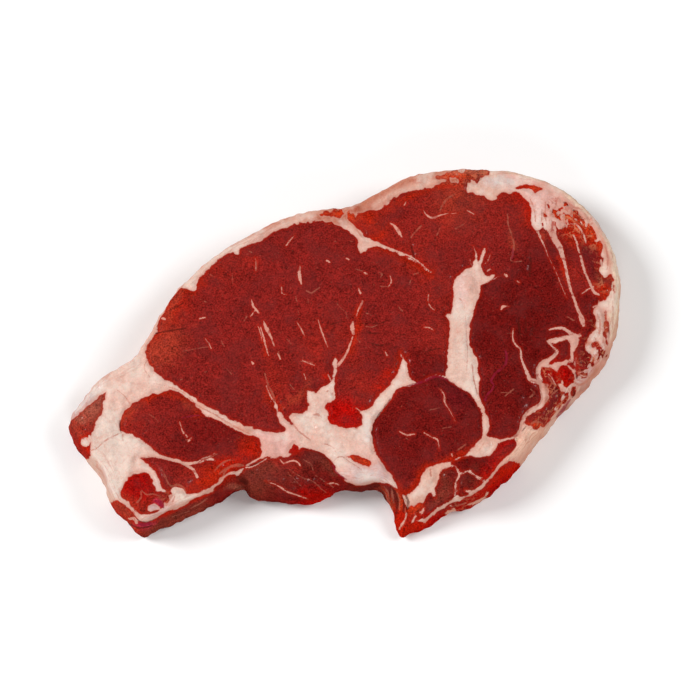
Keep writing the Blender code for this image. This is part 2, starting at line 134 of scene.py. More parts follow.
# The edges of the lean, muscle by muscle. What lies between them is fat.
muscles = {
    "eye": [
        (-79.2, -5.8), (-78, -2), (-75.3, 2), (-75, 5), (-74, 8.5), (-72.5, 11), (-71, 14),
        (-70, 16.5), (-68, 19), (-66, 21), (-64, 21), (-62, 20), (-60.5, 20), (-60, 22),
        (-59, 25.5), (-57, 27), (-55, 29.5), (-52.5, 32), (-50, 34.5), (-47, 36), (-45.2, 37),
        (-44.7, 36), (-43.1, 35.8), (-42.8, 38.2), (-40.6, 39.2), (-37.5, 40.5), (-34.8, 41.5),
        (-31.6, 43.8), (-29.5, 45.5), (-26.3, 47), (-23.6, 47.3), (-22, 48.7), (-18.8, 49.6),
        (-15, 49.9), (-9.8, 50.3), (-6.8, 50), (-4.3, 48.7), (-1.9, 47.6), (0, 46), (2, 44.4),
        (3.7, 43.1), (4.6, 41.3), (4.6, 39.7), (5.8, 36), (7.5, 37), (8.7, 38.4), (10.2, 39.2),
        (12.6, 39.1), (15, 38.4), (17.5, 37.4), (20, 36.6), (22.3, 35), (24.7, 33.5),
        (27.2, 32.4), (29.6, 31.1), (32, 28.5), (34, 27.8), (38, 31), (44, 32), (46, 20), (45, 0),
        (43, -14), (40.5, -17.4), (38.5, -16.8), (36, -15.9), (33, -17), (30, -19), (28, -19.6),
        (26, -18), (24.6, -16.6), (24.4, -14), (23.3, -10.3), (21, -6.3), (22, -9.4), (21, -13.3),
        (20, -16.2), (17.8, -19.2), (15, -22.7), (12.3, -25), (9.8, -29.5), (8.3, -30.7),
        (6.5, -31), (5, -32), (6.2, -32.7), (6.2, -35), (5.2, -37.4), (2.8, -38.3), (0.3, -38.2),
        (-2.3, -37.4), (-5, -36.6), (-6.8, -35), (-8, -32.2), (-8.4, -29.5), (-6.6, -27.3),
        (-5, -26.7), (-4.5, -26.2), (-4.7, -23.4), (-4.5, -20), (-4, -15.7), (-3.5, -11),
        (-4.2, -8.8), (-5.2, -11), (-5, -15.7), (-5.7, -18.5), (-7.5, -20.1), (-9.6, -21.3),
        (-11.2, -23.1), (-14.3, -23.1), (-15.3, -22.3), (-15.3, -26.2), (-14.8, -30),
        (-17.4, -32.2), (-20, -32), (-21.8, -32.5), (-22, -34.5), (-20.3, -37), (-21.9, -36.3),
        (-23.7, -34.7), (-25.5, -32.2), (-28, -27.5), (-27.6, -30.6), (-26.8, -33.3),
        (-25.8, -36.2), (-23.5, -38.5), (-24.2, -39.6), (-26.8, -39.8), (-30, -39.8),
        (-35.2, -38.3), (-39.5, -37.2), (-42.3, -35.8), (-44.9, -34.9), (-47.6, -33),
        (-50.3, -31.6), (-52, -30.4), (-54, -29.3), (-56.3, -28.5), (-58.5, -26.5),
        (-61.2, -24.5), (-64, -22.8), (-66.8, -20.5), (-69.5, -18.8), (-71.6, -17.9), (-75, -15),
        (-76.3, -13), (-78.5, -9.5),
    ],
    "cap": [
        (5, 53), (3.4, 51.6), (5.2, 47.6), (7.4, 43.8), (10, 41.8), (12, 41.2), (16, 39.3),
        (20, 37.5), (25, 34.6), (30, 31.1), (34, 28.2), (38, 27), (46, 24), (47, 10), (46.5, -5),
        (48, -20), (50, -25), (53, -31.4), (54.2, -37), (54.6, -41.4), (57, -42.2), (60.5, -43),
        (62.6, -42.4), (65.2, -42), (67.3, -41), (68.4, -38.3), (68.9, -35.5), (70.6, -32.2),
        (72.7, -30), (74.9, -29), (77, -27.3), (77.3, -24.6), (76.8, -21.8), (76.4, -18.6),
        (75.6, -16.4), (75.7, -13), (76.8, -11.6), (79.5, -9.6), (81.6, -8.5), (83, -6.2),
        (81.2, -4), (79.6, -1.9), (80.7, -1.6), (85, -0.2), (89.3, 0.7), (92.3, 0.4), (92, -2),
        (91.5, -4.4), (90.4, -6), (90.2, -10), (90.5, -13.4), (93.5, -13.8), (95.8, -12.4),
        (95.5, -10), (95.3, -5.5), (94.9, -4.6), (96.2, 0), (97.5, 1.6), (98.7, 3.4), (98.6, 8),
        (98.4, 12), (101, 15), (103.5, 17.4), (106, 20.6), (106.7, 24), (104.9, 25.8),
        (100.7, 28.2), (101.9, 32.2), (102.6, 35.6), (102.3, 39), (100.3, 41.4), (99.5, 46),
        (97, 48.8), (93.4, 50.6), (91, 49.4), (89.5, 47.4), (87.5, 47.6), (85.5, 46.5),
        (83.5, 47), (81.5, 46.5), (80.5, 49), (79, 49.2), (77.8, 47), (76.7, 46.2), (75, 48),
        (74.4, 51.4), (74.7, 54.9), (74, 58.3), (71.5, 61.3), (70, 63), (68.4, 63.7),
        (66.2, 62.3), (64, 63.3), (61.4, 61.4), (59.7, 59.5), (57, 60), (55.3, 61.7), (51, 62.6),
        (49.2, 64), (49.2, 65.8), (47.9, 67.3), (44.7, 68.4), (40, 67.8), (37, 66.7), (34, 65.2),
        (26.7, 63.5), (23.3, 63), (20, 61), (17, 58.5), (14, 56), (12, 55.3), (8, 55),
    ],
    "complexus": [
        (10, -38.2), (10.9, -34.8), (12.8, -32.4), (14.5, -30.1), (16.2, -27.8), (17.9, -25.5),
        (18.9, -23.2), (21.1, -21.4), (23.9, -20.6), (27.2, -19.8), (30, -18.8), (32.7, -17.3),
        (36, -16.4), (39, -17.4), (41.4, -19), (44.2, -20.9), (47.5, -23.2), (50, -25.2),
        (51.3, -28.4), (52.9, -31.3), (53.6, -34.8), (53.6, -38.8), (52.7, -42.2), (50.4, -45),
        (48.2, -47.3), (46, -49.6), (43.3, -50.2), (40.5, -51.6), (36.7, -52.5), (31.2, -54.2),
        (29.5, -57.1), (28.3, -59.9), (26.1, -62.1), (24.5, -63.3), (22.8, -63.9), (21.2, -63),
        (20.1, -61.5), (19.3, -59.7), (18, -57.4), (16.3, -55.2), (14.2, -52.4), (12, -49.6),
        (10.7, -45.6), (10.2, -42.2),
    ],
    "ribStrip": [
        (-77, -24.5), (-79.8, -26), (-83, -27.3), (-85.2, -29.3), (-87.2, -32), (-88.2, -34.9),
        (-88.3, -38.3), (-87.5, -39.4), (-86, -40), (-82.8, -41.1), (-79.5, -43.3),
        (-76.8, -45.5), (-74, -47.8), (-71.3, -49.7), (-68, -50.3), (-64.8, -51.1),
        (-61.5, -52.2), (-57.8, -52), (-55.1, -51.1), (-52.5, -50.6), (-50, -52.6),
        (-48.2, -55.6), (-44.5, -56.2), (-40.6, -55.2), (-37.2, -52.8), (-34.6, -51), (-33, -49),
        (-33.3, -45.3), (-33.9, -42), (-36.6, -41.4), (-39.3, -40.6), (-42.5, -39.1),
        (-45.7, -37.2), (-49, -35.5), (-52.2, -34.1), (-55.4, -32.7), (-57.1, -30.7),
        (-59.3, -28.4), (-61.9, -25.9), (-64.6, -24), (-67.3, -22.8), (-70, -22.3),
        (-73.2, -23.6),
    ],
    "tail": [
        (-80, -50.4), (-77.4, -49.6), (-74, -49.7), (-68.6, -51), (-65, -51.9), (-61, -53),
        (-57, -52.4), (-52.5, -51.2), (-47.5, -54.2), (-46.4, -56.6), (-48.6, -58.6),
        (-50.2, -61), (-52.8, -62.5), (-56, -64.2), (-59.2, -64.9), (-62, -64.4), (-63.2, -62.9),
        (-65, -62.2), (-67, -62.4), (-68.4, -64), (-71, -63.4), (-71.6, -60.8), (-72.9, -58.6),
        (-74.2, -56), (-76, -54.1), (-78, -51.9),
    ],
    "bud": [
        (-83.4, -57.4), (-80.4, -56.2), (-78, -56.1), (-76.2, -57.1), (-75, -59.2),
        (-74.2, -61.4), (-73.3, -63.4), (-71.4, -63.8), (-68.6, -63.8), (-67.6, -64.8),
        (-69, -66.6), (-69.8, -69), (-71, -70.6), (-73.8, -72.3), (-76.6, -73), (-79, -73),
        (-80.8, -71.8), (-82.4, -70), (-84.6, -67.9), (-87, -65.8), (-87.1, -63.8),
        (-86.2, -61.8), (-84.9, -59.6),
    ],
    "leftPatch": [
        (-96.3, -23.8), (-94.3, -22.7), (-94.9, -25.4), (-95.2, -28.5), (-95.6, -31.5),
        (-97.4, -34), (-98.4, -36.8), (-99.3, -39.5), (-100.4, -42), (-99.6, -44), (-99.6, -46),
        (-99.2, -48.6), (-101, -52), (-112, -46), (-114, -36), (-107.8, -33.8), (-105, -31.4),
        (-102, -28.4), (-98.4, -25.8),
    ],
    "belly": [
        (-38.5, -54), (-33.5, -50.7), (-30, -49.6), (-28, -50.4), (-26, -49.8), (-24, -50.1),
        (-22, -49.4), (-19, -47.8), (-17.2, -46.3), (-14, -46.7), (-10.5, -47.7), (-8, -48.9),
        (-6.2, -50.4), (-5, -52.4), (-4, -55), (-2, -58), (0, -60), (3, -61.8), (6, -62.3),
        (8.6, -62.2), (4, -74), (-20, -78), (-42, -76), (-46, -66), (-42, -58),
    ],
    "frontWall": [
        (-88.6, -67.4), (-87, -68.2), (-84.6, -70), (-82, -72.2), (-80.6, -74.4), (-79.6, -76.2),
        (-77, -76.7), (-74, -75.4), (-71, -73.3), (-69, -72.1), (-66, -71.4), (-63, -70.4),
        (-60.6, -68.2), (-58, -66.7), (-54.6, -65.4), (-52, -64.6), (-50.4, -62.4),
        (-48.4, -60.4), (-46.6, -58), (-43, -57.2), (-40, -68), (-50, -76), (-65, -82),
        (-80, -90), (-94, -80),
    ],
    "folds": [
        (11, -60.8), (14, -60.7), (17, -61.6), (20, -63.6), (22, -66), (23, -69.4), (22.6, -74),
        (20, -80), (12, -78), (4, -70), (3, -64),
    ],
    "tip": [
        (19.3, -73), (21, -70.5), (23.2, -67.4), (24.4, -69.4), (25.8, -71.6), (26, -75),
        (28.4, -77.2), (31, -77.8), (32, -80), (26, -86), (19, -84),
    ],
    "ragged": [
        (30.4, -77.6), (32.6, -75.2), (35.4, -72.8), (39, -70.6), (43.4, -68.3), (48.6, -65.6),
        (52.6, -62), (55.8, -58.8), (58.4, -55.6), (60.8, -53.3), (64.4, -52), (68, -55),
        (60, -66), (50, -74), (40, -80), (30, -86),
    ],
    "lowerBrown": [
        (38.4, -54.5), (40.5, -54.1), (42.8, -55.7), (43.4, -57.5), (42.6, -59.5), (42.3, -63),
        (42.4, -66.4), (39.4, -68.6), (35.8, -71), (33, -74), (31, -76), (28.8, -75.4),
        (27.8, -72.6), (28, -70.6), (27.4, -68.6), (29.4, -66.6), (31, -64.7), (32.8, -63.4),
        (33.8, -64.4), (34.8, -63.8), (34.6, -62), (35.6, -60), (36, -57.4), (37, -55.4),
    ],
    "lowerRust": [
        (24.3, -67.6), (27, -66.9), (29.3, -66.3), (30, -67.8), (29, -70), (30, -73), (29, -75.4),
        (26.2, -75.4), (24.6, -72.4),
    ],
    "lowerMiddle": [
        (40.4, -52.5), (43, -50.9), (46.4, -49.7), (50.6, -50), (55.8, -49.2), (58.2, -46.4),
        (59.4, -44.2), (62.2, -43), (65.6, -42.8), (66.8, -44.6), (65, -47.4), (62.6, -49.4),
        (60.8, -51.4), (58.8, -54.4), (56.6, -57.2), (54, -59.4), (51.9, -58.4), (49.6, -56.4),
        (48, -55.2), (46.4, -55.9), (44.8, -55.9), (43.6, -55), (41.4, -53.3),
    ],
    "lowerSmall": [
        (44.4, -57), (46.6, -56.2), (49, -57.2), (51.2, -59), (52.8, -60.6), (51.6, -62.2),
        (49.4, -63.4), (47.2, -63), (45.8, -62.8), (46.2, -64.4), (47.4, -65.4), (44.6, -66.4),
        (43.1, -66), (42.9, -62), (43.3, -59),
    ],
    "noduleRight": [
        (84.2, -13), (86, -11.8), (88, -13.3), (89.4, -15), (89.8, -17.5), (89.1, -19.7),
        (87, -20.5), (85.2, -20.5), (83.4, -19), (82.9, -16.5), (83.3, -14.4),
    ],
    "noduleTop": [(87.2, -11.4), (89, -10.6), (90.8, -12), (91.2, -14), (90, -14.6), (88.5, -13)],
    "noduleOval": [
        (97.9, -3.4), (99.2, -2.7), (100.3, -3.4), (100.1, -4.8), (98.9, -5.3), (97.9, -4.6),
    ],
    "netted": [
        (77.2, -12.4), (79, -13), (81.4, -13.4), (83, -14.6), (83, -17.4), (83.4, -19.6),
        (85.4, -21), (86.4, -23), (85.4, -25.2), (83.6, -27.6), (82.4, -30.4), (81.6, -32.6),
        (80.2, -35), (78.2, -37.2), (75.4, -38.6), (72.4, -38.2), (70.2, -36.8), (70, -34.8),
        (71.6, -32.6), (74.2, -31), (76.6, -29.8), (78.4, -28), (78.9, -24), (78.5, -20),
        (77.4, -17.5), (76.6, -15.5),
    ],
    "quad": [
        (80.6, -2.8), (84, -2.8), (86.5, -1.4), (88.2, -1.9), (88.3, -5), (88.1, -8),
        (87.2, -9.9), (84.5, -10.3), (82, -10.9), (80.4, -11.9), (79.8, -11), (81.7, -9.4),
        (83.5, -7.9), (83.9, -6.2), (82.5, -4.4),
    ],
    "upperRed": [
        (68.5, 64.9), (70.5, 66), (72.5, 66.6), (75, 66.4), (77.4, 65.9), (79.4, 64.6),
        (79.4, 63.8), (77.8, 63.4), (76.6, 62.7), (75, 64.1), (72.5, 64.9), (70, 64.6),
    ],
    "emberLong": [
        (80.8, 55.3), (82.2, 55), (84.2, 53.7), (85.8, 52.1), (86.5, 50.4), (87.2, 49),
        (88.7, 47.6), (87, 46.8), (85.6, 48.4), (85.1, 50.2), (84.1, 51.7), (82.6, 53.2),
    ],
    "emberMiddle": [
        (88.6, 52.8), (90.2, 53), (91.2, 51.4), (91, 49.8), (89.6, 49.2), (88.6, 50.8),
    ],
    "emberRight": [(92.4, 53.2), (94.8, 52.6), (96.8, 51), (94.8, 51), (92.8, 51.9)],
    "emberTop": [(86.4, 57.9), (88.8, 57.7), (88.6, 56.4), (86.6, 56.5)],
    "emberSmall": [(84.4, 56.3), (85.8, 55.5), (85.2, 53.9), (84.4, 54.8)],
    "gash": [
        (0.2, -49.6), (2.8, -48.9), (5, -49.2), (8, -50.4), (9.4, -51.2), (9.3, -53.1),
        (8.2, -53.3), (6, -52.6), (3.5, -51.6), (1.5, -50.5),
    ],
    "redBead": [
        (-22.5, -48.4), (-21.7, -46.4), (-20.2, -44.6), (-18.7, -45.8), (-18.9, -47.8),
        (-20.6, -48.6),
    ],
    "topEmber": [
        (-11, 52.7), (-8, 54), (-4, 54.8), (0, 55.8), (1.4, 55.4), (2.4, 53.4), (4.2, 51.6),
        (5.4, 48.8), (4.6, 47.4), (2.4, 49.6), (0.4, 51), (-3, 51.8), (-8, 52.2),
    ],
    "topRust": [
        (36, 69), (39, 71), (43, 72.4), (47.4, 73.6), (52, 74.4), (56, 73.6), (58, 71.8),
        (56.4, 69.7), (52.4, 68), (49, 67.2), (46, 68.2), (42, 68.8),
    ],
    "emberBlob": [
        (93.6, 50), (96.4, 49.6), (99, 47.4), (100.6, 45), (100, 41.8), (97.8, 42.4), (95, 46),
    ],
    "rightRed": [
        (101.3, 40.2), (103, 40), (103.7, 38), (102.8, 35.8), (101.3, 35.4), (100.8, 38),
    ],
    "rimStrip": [
        (101.9, 11.6), (103, 11.4), (103.6, 7), (103.9, 3), (103.8, -1), (103, -4.6), (102.2, -4),
        (102.8, 0), (102.6, 4), (102.4, 8),
    ],
    # a dark patch of painted shade at the right rim, drawn as lean
    "rimShadePatch": [
        (100.6, -4.6), (102, -5), (102.4, -7.4), (101.2, -9.6), (100.2, -8), (100.4, -6),
    ],
    "rimBead": [
        (96.2, -7), (97.6, -6.6), (98.6, -8.4), (98.2, -11.2), (96.8, -12.4), (96.6, -9.6),
    ],
    "rimEnd": [
        (90.8, -12.6), (93.4, -12.4), (96.4, -13), (95.6, -14), (93, -14.6), (95, -15.6),
        (95.4, -16.8), (92.6, -16.6), (90.6, -16.8), (90.4, -14.4),
    ],
    # a grey-brown patch of painted shade low on the right, drawn as lean
    "lowShadePatch": [
        (88.4, -20.8), (89.8, -21.6), (90.2, -24), (89.4, -26), (88, -24.8), (88.2, -22.6),
    ],
    "lowStreak": [
        (85.2, -24.8), (86.8, -23), (87.4, -25), (85.6, -28.4), (83, -31.4), (83.6, -28.4),
    ],
    "rightLobe": [
        (104.6, 26.8), (106.2, 26.6), (107.2, 24.6), (107, 21), (105.9, 19), (104.7, 20),
        (105, 23.4),
    ],
}

# Fat that runs into the lean.
fatIslands = {
    "bar": [
        (50.3, 29.8), (47.3, 28.8), (45.3, 26.7), (43.3, 24.6), (42.8, 21.6), (42.7, 18),
        (42.3, 13.3), (41.8, 10.3), (39.5, 9.3), (40.7, 6.8), (41, 3.2), (41, 0), (40.5, -5),
        (40.1, -10), (39.7, -14), (39.2, -16.8), (42, -19), (45, -21.3), (48, -23.8), (50, -25.7),
        (51.4, -28.4), (52.8, -31.1), (53.3, -35.6), (53.4, -40), (54, -40.7), (55.7, -38.8),
        (55.5, -35), (54.3, -31.7), (53.4, -28.4), (51.9, -24.5), (51.8, -21.2), (52.1, -17.9),
        (51.4, -14), (51.8, -10), (50.5, -7.8), (49.3, -5), (48.4, -2.4), (48.6, 2), (48.9, 6),
        (50.3, 10), (50.9, 12.2), (51.5, 14.5), (52.6, 16.2), (53.3, 19), (53.7, 21.9),
        (55.5, 23), (57.7, 24.2), (59.4, 26), (58.9, 27), (56.7, 26), (54.4, 28.2), (53.9, 30),
        (54.5, 33.4), (55.7, 36.3), (55.5, 38.5), (54.2, 35.5), (53, 32.2), (52.6, 33.6),
        (52.7, 35.6), (51.9, 37.5), (51.6, 34), (50.5, 30.4),
    ],
    "budSpot": [
        (-76.5, -69.6), (-75.2, -68.4), (-73.4, -68.8), (-71.8, -70.8), (-73.4, -71.7),
        (-76, -71.6),
    ],
    "flakeLow": [
        (37.4, -73.6), (39.6, -72.4), (41.4, -71.6), (42, -72.6), (40.4, -73.6), (38.6, -74.4),
    ],
    "flakeHigh": [
        (47, -70.4), (48, -69.4), (50.6, -68.7), (53, -67), (54.8, -64.9), (55.4, -65.8),
        (53.4, -68.4), (50.6, -70.2), (48.4, -71),
    ],
    "knob": [
        (-103, -43.6), (-101.8, -42.5), (-100, -43.2), (-99.8, -45.2), (-101, -46.2),
        (-102.8, -45.6),
    ],
    "rightPatch": [
        (98.8, 12.6), (100, 12.8), (101, 11.8), (102, 12.2), (103.1, 11.6), (102.7, 8),
        (102.5, 4), (102.2, 0), (101.2, -1.2), (99.6, -1.4), (97.6, -3), (96, -6), (94.9, -4.8),
        (96.2, 0), (97.5, 1.6), (98.7, 3.4), (98.6, 8),
    ],
}

# Marbling: fine pale threads within the lean, and a few short pale strokes that are painted
# highlights (glints): x, y, half width at each point.
marbleAndGlintStreaks = [
    # in the eye
    [(-18.5, 30, 0.2), (-18.7, 25.3, 0.75), (-17.9, 21.9, 0.25)],
    [(-7.8, 32.3, 0.35), (-6.8, 31.7, 0.45)],
    [(0.1, 33.2, 0.35), (0.9, 32.7, 0.4)],
    # a painted highlight (glint), not marbling
    [(7.3, 26.9, 0.4), (8.1, 26.4, 0.4)],
    [(-37.7, 15.2, 0.2), (-37.1, 12.9, 0.4), (-36, 11.1, 0.5), (-34.7, 9.4, 0.25)],
    [(-36.2, 10.6, 0.3), (-38, 8, 0.2)],
    [(-32.8, 6, 0.2), (-31.7, 3.1, 0.7), (-30, -0.3, 0.5), (-28.3, -4.6, 0.2)],
    [(-35, 3.8, 0.2), (-33.9, 0.9, 0.25), (-33.3, -3, 0.15)],
    [(-32, -4.1, 0.25), (-30.6, -8.6, 0.2)],
    [(-19.5, 5.4, 0.2), (-18, 2.8, 0.3), (-16.4, -0.6, 0.2)],
    [(-11.2, 6.5, 0.2), (-10, 2.6, 0.3), (-8.7, -1.3, 0.3), (-7.3, -5, 0.2)],
    [(-55.8, -1.3, 0.15), (-54.4, -3.2, 0.25), (-53.3, -5.7, 0.25)],
    [(-36.5, 34, 0.12), (-36.3, 31, 0.22), (-36.2, 27.6, 0.12)],
    [(-24.2, 38.6, 0.2), (-22.6, 41.2, 0.3), (-20.8, 43.5, 0.2)],
    [(-25.8, 21.3, 0.2), (-25.5, 18, 0.25), (-23.7, 17.5, 0.15)],
    [(-58.2, 7.2, 0.3), (-56, 7.7, 0.3)],
    [(-16.7, -16, 0.25), (-15.9, -18.3, 0.25)],
    [(-72.9, 7.9, 0.6), (-72.1, 7.5, 0.6)],
    [(4.8, 20.5, 0.2), (5.6, 18, 0.5)],
    [(6.4, 14.6, 0.35), (6.1, 13.4, 0.5), (4.8, 10.8, 0.3), (4, 8.2, 0.2)],
    [(2.7, 5.8, 0.25), (2.4, 3.2, 0.95), (2.9, 0.7, 0.6)],
    [(2.5, -0.8, 0.3), (1.1, -5, 0.4), (-0.6, -8.8, 0.5), (-3.2, -12, 0.7)],
    [(17.3, 25.7, 0.2), (18, 23.3, 0.3), (16.8, 21, 0.2)],
    [(32.8, 17.4, 0.2), (32.5, 14.9, 0.25), (33.4, 12.3, 0.25), (35, 10.8, 0.2)],
    [(30.4, 3.5, 0.2), (32.9, 3.2, 0.3), (34.8, 1.9, 0.2)],
    # a painted highlight (glint), not marbling
    [(15.4, -6.9, 0.3), (16.1, -8.5, 0.35)],
    [(3.8, -30.3, 0.2), (6.3, -32, 0.35), (7, -34.5, 0.35), (8, -37, 0.25)],
    # a painted highlight (glint), not marbling
    [(-37.2, -11.2, 0.3), (-36.6, -11.9, 0.5)],
    [(-17.6, -10.4, 0.15), (-15.6, -11.4, 0.3), (-12.6, -12.6, 0.2)],
    [(-7, -16.6, 0.3), (-6, -18.6, 0.3)],
    [(-33.9, 3.4, 0.25), (-32.4, -2, 0.4), (-31, -7.6, 0.3)],
    [(-27, -7.6, 0.3), (-26, -10, 0.35)],
    [(-31.4, -21, 0.2), (-29.6, -25.4, 0.3), (-27.2, -28.6, 0.3)],
    # in the cap
    [(17.6, 48.8, 0.2), (19.5, 47.4, 0.5), (20.9, 45.3, 0.75), (22.3, 42.7, 0.3)],
    [(24.2, 58.4, 0.2), (23.4, 56.6, 0.35)],
    [(31, 54.5, 0.2), (32.6, 52.1, 0.35), (34.6, 51, 0.45), (37, 51.8, 0.35), (39.4, 52.6, 0.25),
     (44.8, 53, 0.15)],
    [(48.6, 54.4, 0.2), (51.5, 52.5, 0.35)],
    # the next three are painted highlights (glints), not marbling
    [(63.4, 26, 0.55), (64.1, 25.5, 0.55)],
    [(68.2, 23.1, 0.35), (69, 22.6, 0.35)],
    [(61.5, 11, 0.3), (62.3, 12.3, 0.5), (64.7, 12.3, 0.2)],
    # in the complexus
    [(37, -22.7, 0.2), (38.3, -25, 0.3), (38.5, -27.9, 0.3), (40.4, -31.3, 0.25),
     (42.6, -36, 0.15)],
    [(20.7, -40, 0.2), (23.2, -41.4, 0.3), (26.6, -41.1, 0.25)],
    [(30.3, -40.5, 0.25), (33, -42.3, 0.25), (35.4, -43.4, 0.35), (35.9, -45.1, 0.25),
     (36.1, -47.4, 0.15)],
    # a painted highlight (glint), not marbling
    [(41, -49, 0.35), (41.1, -49.8, 0.3)],
    # in the rib strip
    [(-65, -36, 0.2), (-64.2, -38.6, 0.25), (-63.3, -41, 0.3)],
    [(-62.4, -41.6, 0.3), (-61.8, -42.2, 0.3)],
    [(-60.4, -42.8, 0.3), (-61.4, -44.2, 0.35)],
    # over the belly
    [(-31, -60, 0.2), (-26.5, -62, 0.35), (-22.5, -64.7, 0.4), (-18, -66.5, 0.35),
     (-14.5, -68, 0.2)],
    [(-25.6, -51.3, 0.25), (-24.2, -52.8, 0.35), (-22.4, -52.2, 0.3), (-20.4, -51.8, 0.35),
     (-18.6, -52.6, 0.3), (-17.8, -54, 0.3)],
    [(-7.5, -61.3, 0.25), (-4.5, -61, 0.35), (-3, -61.8, 0.25)],
]

